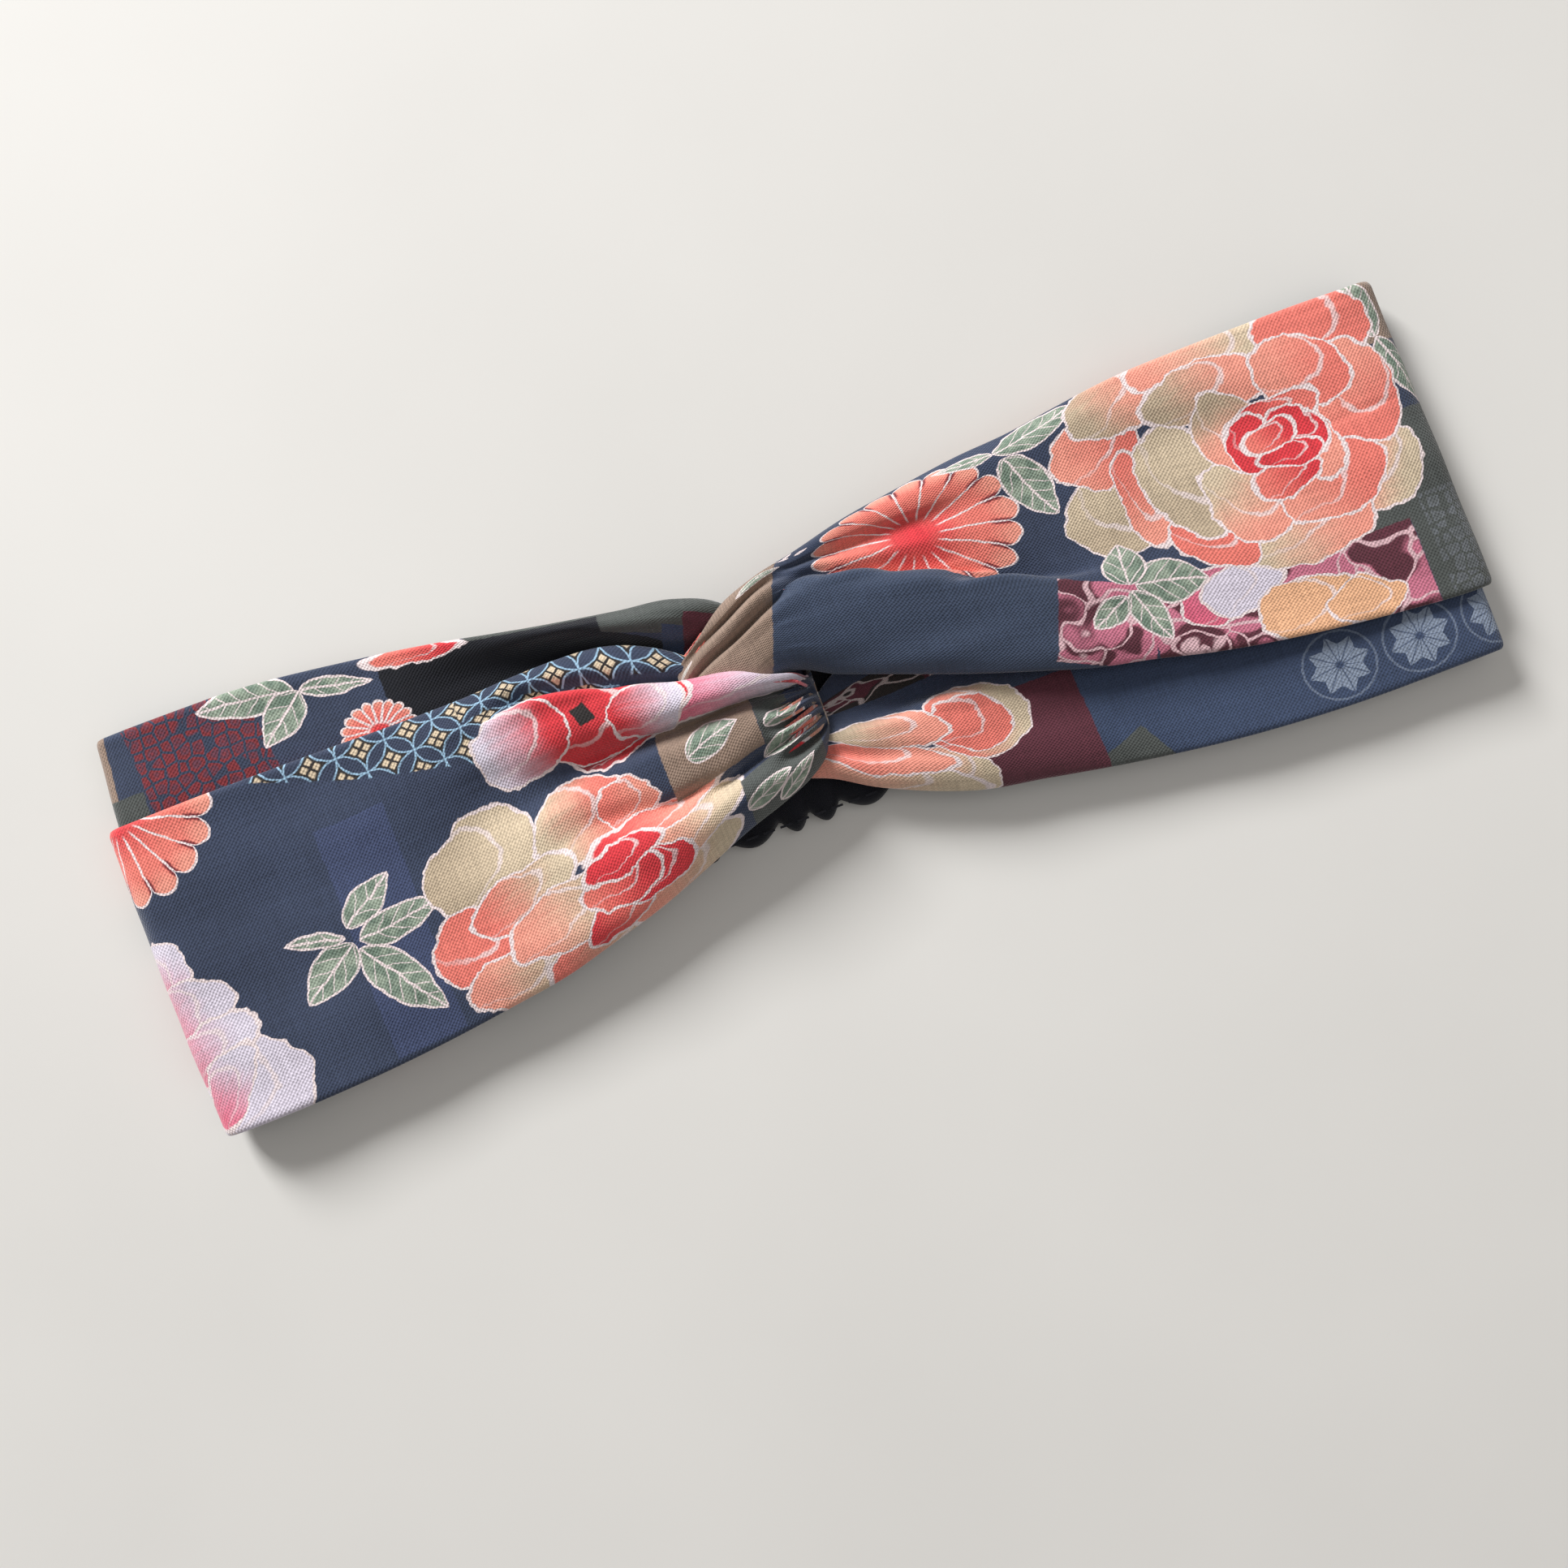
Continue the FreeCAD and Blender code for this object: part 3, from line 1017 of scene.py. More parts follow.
RIGHT_TOP_PRINT = (
    Daisy((29, 14.5), 4, (38, 37)),
    Block((22.2, -12.1), -14.6, (52, 30), colour=FLAP_NAVY),
    Leaf((47, 28), 12, (17, 8)),
    Leaf((48, 26), -68, (16, 8.5)),
    Leaf((47, 28), 170, (12, 4)),
    Block((117, 30), 0, (12, 14), colour=TAUPE),
    Block((112, 1), 0, (22, 19), colour=MOSS_GREY),
    Block((118, -14), 0, (16, 40), colour=MOSS_GREY),
    Block((119, -14), 0, (13, 19), colour=ASH, second=MOSS_GREY, fill=Fill.CRACKLE),
    Block((55, -15), -16, (17, 18), colour=MAROON, second=MAUVE, fill=Fill.SCROLL),
    Block((86, -17), 0, (48, 18), colour=MAROON, second=MAUVE, fill=Fill.SCROLL),
    Petal((74, -13), 35, (15, 10), PINK, MAUVE),
    Petal((80, -12), 20, (16, 10), WHITE_PINK, WHITE_PINK),
    Petal((90, -19), 0, (20, 13), PEACH, PEACH),
    Petal((99, -20), 8, (14, 9), PEACH, PEACH),
    Leaf((117, 24), 100, (13, 7)),
    Leaf((117, 24), -72, (14, 6)),
    Petal((109, 3), -20, (15, 16), PINK_CORAL, CREAM),
    Petal((93, -3), 0, (26, 15), CREAM, PINK_CORAL),
    Petal((78, -1), -35, (17, 13), CORAL, CORAL),
    Petal((63, 7), -80, (19, 17), CREAM, SAND),
    Petal((64, 20), 10, (17, 15), PINK_CORAL, CORAL),
    Petal((70, 29), 20, (22, 15), SAND, PINK_CORAL),
    Petal((88, 31), 0, (30, 13), PINK_CORAL, CREAM),
    Petal((107, 29), -25, (21, 16), CORAL, CORAL),
    Petal((110, 16), -80, (20, 15), PINK_CORAL, CORAL),
    Petal((69, 8), -85, (22, 9), CORAL, PINK_CORAL),
    Petal((77, 10), -80, (23, 15), CREAM, SAND),
    Petal((85, 25), 8, (24, 11), SAND, PINK_CORAL),
    Petal((102, 23), -25, (18, 13), PINK_CORAL, CORAL),
    Petal((86, 4), -60, (17, 14), CREAM, PINK_CORAL),
    Petal((100, 3), 12, (20, 14), PINK_CORAL, CORAL),
    Petal((87, 17), -70, (16, 12), SAND, PINK_CORAL),
    Petal((99, 11), -60, (17, 12), CORAL, PINK_CORAL),
    Petal((95, 17), 10, (18, 9), RED, CORAL),
    Petal((92, 12), -65, (15, 10), RED, RED),
    Petal((99, 14), -40, (13, 7), RED, RED),
    Petal((94, 6), 8, (14, 7), CORAL, RED),
    Petal((96, 10), 0, (13, 6), RED, RED),
    Petal((94, 14), 14, (11, 5.5), CORAL, RED),
    Leaf((62, -8), -5, (13, 9)),
    Leaf((61, -8), 85, (9, 8)),
    Leaf((61, -9), -70, (12, 6.5)),
    Leaf((60, -10), 215, (9, 6)),
    Block((-14, 3), -8, (30, 70), colour=TAUPE),
    Leaf((-3, 19), 10, (8, 5)),
    Leaf((-14, 8), 50, (5, 3)),
    Leaf((6, 25), 60, (3, 1.4)),
    Leaf((7, 24), 150, (3, 1.4)),
    Leaf((8, 24), 10, (3, 1.4)),
)
RIGHT_UNDER_PRINT = (
    Block((90, -20), 0, (88, 40), colour=BLUE_NAVY),
    Block((53, -36), 30, (12, 12), colour=MOSS_GREY),
    Block((37, -24), 3, (21, 24), colour=MAROON),
    Petal((21, -30), -10, (17, 15), PINK_CORAL, CREAM),
    Petal((10, -33), -2, (34, 11), PINK_CORAL, CREAM),
    Petal((28, -17), 10, (19, 20), CORAL, CREAM),
    Petal((27, -17), 10, (14, 15), CORAL, CORAL),
    Petal((9, -26), -6, (28, 10), CORAL, PINK_CORAL),
    Petal((13, -17), 0, (22, 13), SAND, PINK_CORAL),
    Star((91, -28), 10, (11, 11)),
    Star((105, -28), 10, (11, 11)),
    Star((119, -28), 10, (11, 11)),
    Block((16, 4), 0, (26, 12), colour=MAROON, second=DARK_BROWN, fill=Fill.SCROLL),
    Bloom((88, 8), 0, (28, 24)),
)
LEFT_SPLITS = (123.0, 77.0, 47.0, 25.0)
RIGHT_SPLITS = (123.0, 99.0, 84.0, 68.0, 51.5)
LEFT_FOLD_SKEW = [(-36.0, 1.3), (-20.0, 1.9), (20.0, 2.2), (24.0, 1.9), (37.0, 0.7)]
RIGHT_FOLD_SKEW = [(-36.0, 2.2), (-24.0, 2.2), (-10.0, 1.8), (20.0, 0.8), (35.0, 0.3)]
BACK_MOTIFS_LEFT = (
    Bloom((-146, -10), 15, (36, 32)),
    Leaf((-162, 4), 150, (15, 8)),
    Leaf((-162, 2), 60, (13, 7)),
)
BACK_MOTIFS_RIGHT = (
    Bloom((146, 8), 40, (38, 34)),
    Leaf((166, -4), 20, (14, 8)),
    Leaf((164, -6), -50, (14, 7)),
)


# ---------------------------------------------------------------- meshes

def smooth_through(keys: np.ndarray, values: np.ndarray, wanted: np.ndarray) -> np.ndarray:
    """Values on a smooth curve through unevenly spaced keys.

    Args:
        keys: increasing positions of the given values.
        values: one row per key.
        wanted: positions to find.

    Returns:
        One row per wanted position.
    """
    shape = (-1,) + (1,) * (values.ndim - 1)
    gap = np.diff(keys)
    rise = np.diff(values, axis=0) / gap.reshape(shape)
    slope = np.empty_like(values)
    slope[0] = rise[0]
    slope[-1] = rise[-1]
    before = gap[:-1].reshape(shape)
    after = gap[1:].reshape(shape)
    slope[1:-1] = (rise[:-1] * after + rise[1:] * before) / (before + after)
    turned = rise[:-1] * rise[1:] <= 0.0
    slope[1:-1] = np.where(turned, slope[1:-1] * 0.4, slope[1:-1])
    i = np.clip(np.searchsorted(keys, wanted, side="right") - 1, 0, len(gap) - 1)
    span = gap[i].reshape(shape)
    p = ((wanted - keys[i]) / gap[i]).reshape(shape)
    return (
        (2 * p**3 - 3 * p**2 + 1) * values[i]
        + (p**3 - 2 * p**2 + p) * span * slope[i]
        + (3 * p**2 - 2 * p**3) * values[i + 1]
        + (p**3 - p**2) * span * slope[i + 1]
    )


class Ripple:
    """A smooth seeded height field made of a few waves."""

    def __init__(self, seed: int, wavelengths: Sequence[float], angles: Pair = (0.0, math.pi)) -> None:
        """Choose each wave's direction and phase."""
        chance = np.random.default_rng(seed)
        self.waves = [
            (2 * math.pi / w, chance.uniform(*angles), chance.uniform(0, 2 * math.pi)) for w in wavelengths
        ]

    def at(self, x: np.ndarray, y: np.ndarray) -> np.ndarray:
        """The height, about -1 to 1, at each point."""
        total = sum(
            np.sin(k * (x * math.cos(a) + y * math.sin(a)) + phase) for k, a, phase in self.waves
        )
        return total / math.sqrt(len(self.waves))


def make_mesh(name: str, points: np.ndarray, faces: list[tuple[int, ...]], uvs: list[Pair],
              slots: list[int], materials: Sequence[bpy.types.Material]) -> bpy.types.Object:
    """A smooth-shaded mesh object.

    Args:
        name: the object's name.
        points: vertex places in millimetres.
        faces: vertex numbers of each face.
        uvs: one cloth coordinate pair in millimetres per face corner.
        slots: the material slot of each face.
        materials: the materials, in slot order.

    Returns:
        The new object.
    """
    mesh = bpy.data.meshes.new(name)
    mesh.from_pydata((points * MM).tolist(), [], faces)
    layer = mesh.uv_layers.new(name=CLOTH_COORDINATES)
    layer.data.foreach_set("uv", (np.array(uvs) * MM).astype(np.float32).ravel())
    for material in materials:
        mesh.materials.append(material)
    mesh.polygons.foreach_set("material_index", slots)
    mesh.polygons.foreach_set("use_smooth", [True] * len(faces))
    mesh.update()
    made = bpy.data.objects.new(name, mesh)
    bpy.context.scene.collection.objects.link(made)
    return made


def thicken(cloth: bpy.types.Object) -> None:
    """Give a sheet of cloth its thickness.

    Args:
        cloth: the sheet, modelled as its outer face.
    """
    solid = cloth.modifiers.new("cloth", "SOLIDIFY")
    solid.thickness = CLOTH_THICKNESS * MM
    solid.offset = -1.0


def ease(part: np.ndarray) -> np.ndarray:
    """A smooth rise from 0 to 1."""
    return part**2 * (3.0 - 2.0 * part)


def quad(i: int, j: int, around: int) -> tuple[int, ...]:
    """The vertex numbers of a face between two rows of a tube.

    Args:
        i: the first row.
        j: the place round the tube.
        around: vertices in a row.

    Returns:
        Four vertex numbers.
    """
    k = (j + 1) % around
    return (i * around + j, i * around + k, (i + 1) * around + k, (i + 1) * around + j)


EDGE_ROLL = 1.4
EDGE_PLACES = np.array([1.0, 0.65, 0.35, 0.12, 0.0])
MIDDLE_PLACES = 88
BACK_PARTS = (0.14, 0.3, 0.46, 0.62, 0.74, 0.84, 0.92, 1.0)
FOLD_SECTIONS = 9
BACK_AND_FOLD = len(BACK_PARTS) + FOLD_SECTIONS
TURN_STEP = 5.0
TURN_GAP = 9.0
KNOT_REACH = 70.0
SWELL_HEIGHT = 0.34
FULL_SWELL_Z = 8.4
CREASE_HEIGHT = 0.16
CREASES_FROM_Z = 4.0
FRONT_CLEARANCE = 0.65
HIDDEN_PLY_SHIFT = 30.0
FOLD_ZONE = 0.6


class Up(Enum):
    """Which ply of a leg faces away from the table."""

    FIRST = 1
    SECOND = -1


@dataclass
class Section:
    """The two plies of a tube where it is cut across, at one distance along the band."""

    at: float
    print_x: float
    first: np.ndarray
    second: np.ndarray


@dataclass
class Band:
    """One printed tube: back leg, outer fold, top leg, turn in the knot, under leg, inner fold, back leg.

    side is -1 for the left band and 1 for the right one. Each profile is a list of
    (place on the cloth, y, z) across a leg, z being its upper face.
    """

    side: int
    half_width: float
    fold_x: float
    fold_z: float
    top_z: float
    under_z: float
    top_centre: float
    under_centre: float
    join_x: float
    join_y: Pair
    top_profiles: dict[float, Profile]
    turn_profiles: list[tuple[float, Profile]]
    under_profiles: dict[float, Profile]
    splits: tuple[float, ...]
    fold_skew: Profile
    thickness: float = 1.5
    row_step: float = 1.1
    seed: int = 3

    @property
    def name(self) -> str:
        """The piece's name."""
        return "left_band_cloth" if self.side < 0 else "right_band_cloth"

    def across(self) -> np.ndarray:
        """Places across the cloth where the mesh has vertices, closer together at the edges.

        Returns:
            Places from one edge to the other, in millimetres from the middle.
        """
        inner = self.half_width - EDGE_ROLL
        edge = self.half_width - EDGE_PLACES
        return np.concatenate([-edge[::-1], np.linspace(-inner, inner, MIDDLE_PLACES), edge])

    def fullness(self) -> np.ndarray:
        """How far the plies lie apart at each place across, from 0 at the edges to 1."""
        inward = np.clip((self.half_width - np.abs(self.across())) / EDGE_ROLL, 0.0, 1.0)
        return np.sqrt(1.0 - (1.0 - inward) ** 2)

    def plies(self, x: float, profile: Profile, up: Up) -> tuple[np.ndarray, np.ndarray]:
        """Both plies of a tube whose upper face follows a profile in the plane X = x.

        Args:
            x: the plane.
            profile: the upper face across the leg.
            up: which ply faces up.

        Returns:
            The points of the first ply and of the second.
        """
        keys = np.array([p[0] for p in profile], float)
        values = np.array([p[1:] for p in profile], float)
        t = self.across()
        face = smooth_through(keys, values, t)
        run = np.gradient(face, t, axis=0)
        normal = np.stack([-run[:, 1], run[:, 0]], axis=1)
        normal /= np.linalg.norm(normal, axis=1, keepdims=True) + 1e-9
        full = self.fullness()[:, None]
        half = self.thickness / 2.0
        upper = face - normal * half * (1.0 - full)
        lower = face - normal * half * (1.0 + full)
        place = np.full((len(t), 1), x)
        upper = np.hstack([place, upper])
        lower = np.hstack([place, lower])
        return (upper, lower) if up is Up.FIRST else (lower, upper)

    def flat(self, centre: float, z: float) -> Profile:
        """A leg lying flat."""
        w = self.half_width
        return [(-w, centre - w, z), (0.0, centre, z), (w, centre + w, z)]

    def fold(self, centre: float, upper_z: float, start: float, up: Up, backwards: bool) -> list[Section]:
        """Sections round a side fold, between the front leg and the back leg.

        Args:
            centre: the middle of the leg across the fabric.
            upper_z: the height of the front leg's upper face.
            start: distance along the band at the first section.
            up: which ply faces up on the front leg.
            backwards: whether the band runs from the back to the front here.

        Returns:
            The sections in the order the band runs.
        """
        first, second = self.plies(self.fold_x, self.flat(centre, upper_z), up)
        radius = upper_z - self.fold_z
        made = []
        turns = np.linspace(0.0, math.pi, FOLD_SECTIONS)
        for turn in turns[::-1] if backwards else turns:
            done = (math.pi - turn if backwards else turn) * radius
            c, s = math.cos(turn), math.sin(turn)
            plies = []
            for ply in (first, second):
                x = ply[:, 0] - self.fold_x
                z = ply[:, 2] - self.fold_z
                plies.append(np.stack([
                    self.fold_x + x * c + self.side * z * s, ply[:, 1], self.fold_z + z * c
                ], axis=1))
            made.append(Section(start + done, self.side * (abs(self.fold_x) + turn * radius), *plies))
        return made

    def back(self, centre: float, lower_z: float, start: float, up: Up, backwards: bool) -> list[Section]:
        """Sections of a back leg, from its side fold to the gathered join, or the other way.

        Args:
            centre: the middle of the leg beside the fold.
            lower_z: the height of the face that lies away from the head.
            start: distance along the band at the first section.
            up: which ply faced up on the front leg, and so faces down here.
            backwards: whether the band runs from the join to the fold here.

        Returns:
            The sections in the order the band runs.
        """
        length = abs(self.fold_x) - abs(self.join_x)
        radius = self.fold_z - lower_z
        middle = sum(self.join_y) / 2.0
        narrow = (self.join_y[1] - self.join_y[0]) / 2.0 - 0.6
        gathers = Ripple(self.seed + 7, (0.34, 0.52, 0.85))
        made = []
        t = self.across()
        full = self.fullness()
        half = self.thickness / 2.0
        for part in BACK_PARTS:
            eased = ease(part)
            pinch = eased**1.6
            y = centre + (middle - centre) * eased + t / self.half_width * (
                self.half_width + (narrow - self.half_width) * eased)
            wave = gathers.at(t / self.half_width * 4.0, t * 0.0) * 0.42 * pinch
            x = self.fold_x - self.side * part * length
            base = lower_z + (0.15 if lower_z > 1.0 else 0.05) * pinch
            lower_face = base + half * (1 - full) + np.abs(wave) * 0.7
            upper_face = base + half * (1 + full) - 0.2 * pinch + wave * 0.25
            lower, upper = (np.stack([np.full_like(t, x), y, z], axis=1) for z in (lower_face, upper_face))
            plies = (lower, upper) if up is Up.FIRST else (upper, lower)
            far = abs(self.fold_x) + math.pi * radius + part * length
            made.append(Section(part * length, self.side * far, *plies))
        if backwards:
            made = made[::-1]
            for section in made:
                section.at = length - section.at
        for section in made:
            section.at += start
        return made

    def front(self, profiles: dict[float, Profile], start: float, up: Up,
              towards_knot: bool) -> list[Section]:
        """Sections of a front leg in the order the band runs.

        Args:
            profiles: the upper face at each X.
            start: distance along the band at the first one.
            up: which ply faces up.
            towards_knot: whether the band runs towards the knot here.

        Returns:
            The sections.
        """
        places = sorted(profiles, key=lambda x: x * self.side, reverse=towards_knot)
        first = abs(self.fold_x) if towards_knot else places[0] * self.side
        made = []
        for x in places:
            along = abs(x * self.side - first)
            made.append(Section(start + along, x, *self.plies(x, profiles[x], up)))
        return made

    def sections(self) -> list[Section]:
        """Every key section from one gathered end of the band to the other.

        Returns:
            The sections in the order the band runs.
        """
        top_radius = self.top_z - self.fold_z
        under_radius = self.under_z - self.fold_z
        made = self.back(self.top_centre, self.fold_z - top_radius, 0.0, Up.FIRST, True)
        length = abs(self.fold_x) - abs(self.join_x)
        made += self.fold(self.top_centre, self.top_z, length, Up.FIRST, True)
        made += self.front(self.top_profiles, made[-1].at, Up.FIRST, True)
        for x, profile in self.turn_profiles:
            last = made[-1]
            first, second = self.plies(x, profile, Up.FIRST)
            made.append(Section(last.at + TURN_STEP, last.print_x - self.side * TURN_STEP, first, second))
        made += self.front(self.under_profiles, made[-1].at + TURN_GAP, Up.SECOND, False)
        made += self.fold(self.under_centre, self.under_z, made[-1].at + self.last_run(), Up.SECOND, False)
        made += self.back(self.under_centre, self.fold_z - under_radius, made[-1].at, Up.SECOND, False)
        return made

    def last_run(self) -> float:
        """From the under leg's outermost profile to its side fold."""
        return abs(self.fold_x) - max(abs(x) for x in self.under_profiles)

    def build(self, materials: Sequence[bpy.types.Material]) -> bpy.types.Object:
        """The band's mesh.

        Args:
            materials: one for each stretch of the upper leg, from the back join to the knot, then one for
                everything past the turn in the knot.

        Returns:
            The band, with its cloth coordinates in millimetres.
        """
        keys = self.sections()
        at = np.array([k.at for k in keys])
        turn = at[BACK_AND_FOLD + len(self.top_profiles) + len(self.turn_profiles) - 1]
        rows = np.arange(at[0], at[-1] + self.row_step / 2, self.row_step)
        rows = np.minimum(rows, at[-1])
        first = smooth_through(at, np.array([k.first for k in keys]), rows)
        second = smooth_through(at, np.array([k.second for k in keys]), rows)
        print_x = np.interp(rows, at, np.array([k.print_x for k in keys]))
        t = self.across()
        loop = np.concatenate([first, second[:, -2:0:-1]], axis=1)
        around = loop.shape[1]
        count = len(t)
        swell = Ripple(self.seed, (61.0, 37.0, 23.0, 16.0))
        creases = Ripple(self.seed + 1, (9.0, 6.5, 12.0), (1.2, 1.9))
        x, y, z = loop[..., 0], loop[..., 1], loop[..., 2]
        skew = np.array(self.fold_skew)
        outer = np.clip((np.abs(x) - KNOT_REACH) / (abs(self.fold_x) - KNOT_REACH), 0.0, 1.0)
        x += self.side * np.interp(y, skew[:, 0], skew[:, 1]) * ease(outer)
        lift = np.clip(z / FULL_SWELL_Z, 0.0, 1.0) * SWELL_HEIGHT * swell.at(x, y)
        near_knot = np.clip(1.0 - np.abs(x) / KNOT_REACH, 0.0, 1.0)
        lift += near_knot * CREASE_HEIGHT * creases.at(x * 0.3, y) * np.clip(z - CREASES_FROM_Z, 0.0, 1.0)
        in_front = (rows > at[BACK_AND_FOLD - 1]) & (rows < at[-BACK_AND_FOLD])
        floor = np.where(in_front, self.fold_z + FRONT_CLEARANCE, 0.0)
        loop[..., 2] = np.maximum(z + lift, floor[:, None])
        v_top = np.concatenate([t, t[-2:0:-1]])
        is_second = np.concatenate([np.zeros(count), np.ones(around - count)])
        faces, uvs, slots = [], [], []
        for i in range(len(rows) - 1):
            upper = rows[i] < turn
            centre = self.top_centre if upper else self.under_centre
            for j in range(around):
                k = (j + 1) % around
                faces.append(quad(i, j, around))
                hidden = bool(is_second[j] or is_second[k]) == upper
                shift = self.side * HIDDEN_PLY_SHIFT if hidden else 0.0
                for row, column in ((i, j), (i, k), (i + 1, k), (i + 1, j)):
                    uvs.append((print_x[row] + shift, v_top[column] + centre))
                stretch = sum((print_x[i] + shift) * self.side < split for split in self.splits)
                slots.append(stretch if upper else len(self.splits) + 1)
        if self.side < 0:
            faces = [f[::-1] for f in faces]
            uvs = [uv for n in range(len(faces)) for uv in uvs[4 * n: 4 * n + 4][::-1]]
        made = make_mesh(self.name, loop.reshape(-1, 3), faces, uvs, slots, materials)
        thicken(made)
        return made

    def flat_length(self) -> float:
        """The length of the band from one gathered end to the other, in millimetres."""
        keys = self.sections()
        return keys[-1].at - keys[0].at


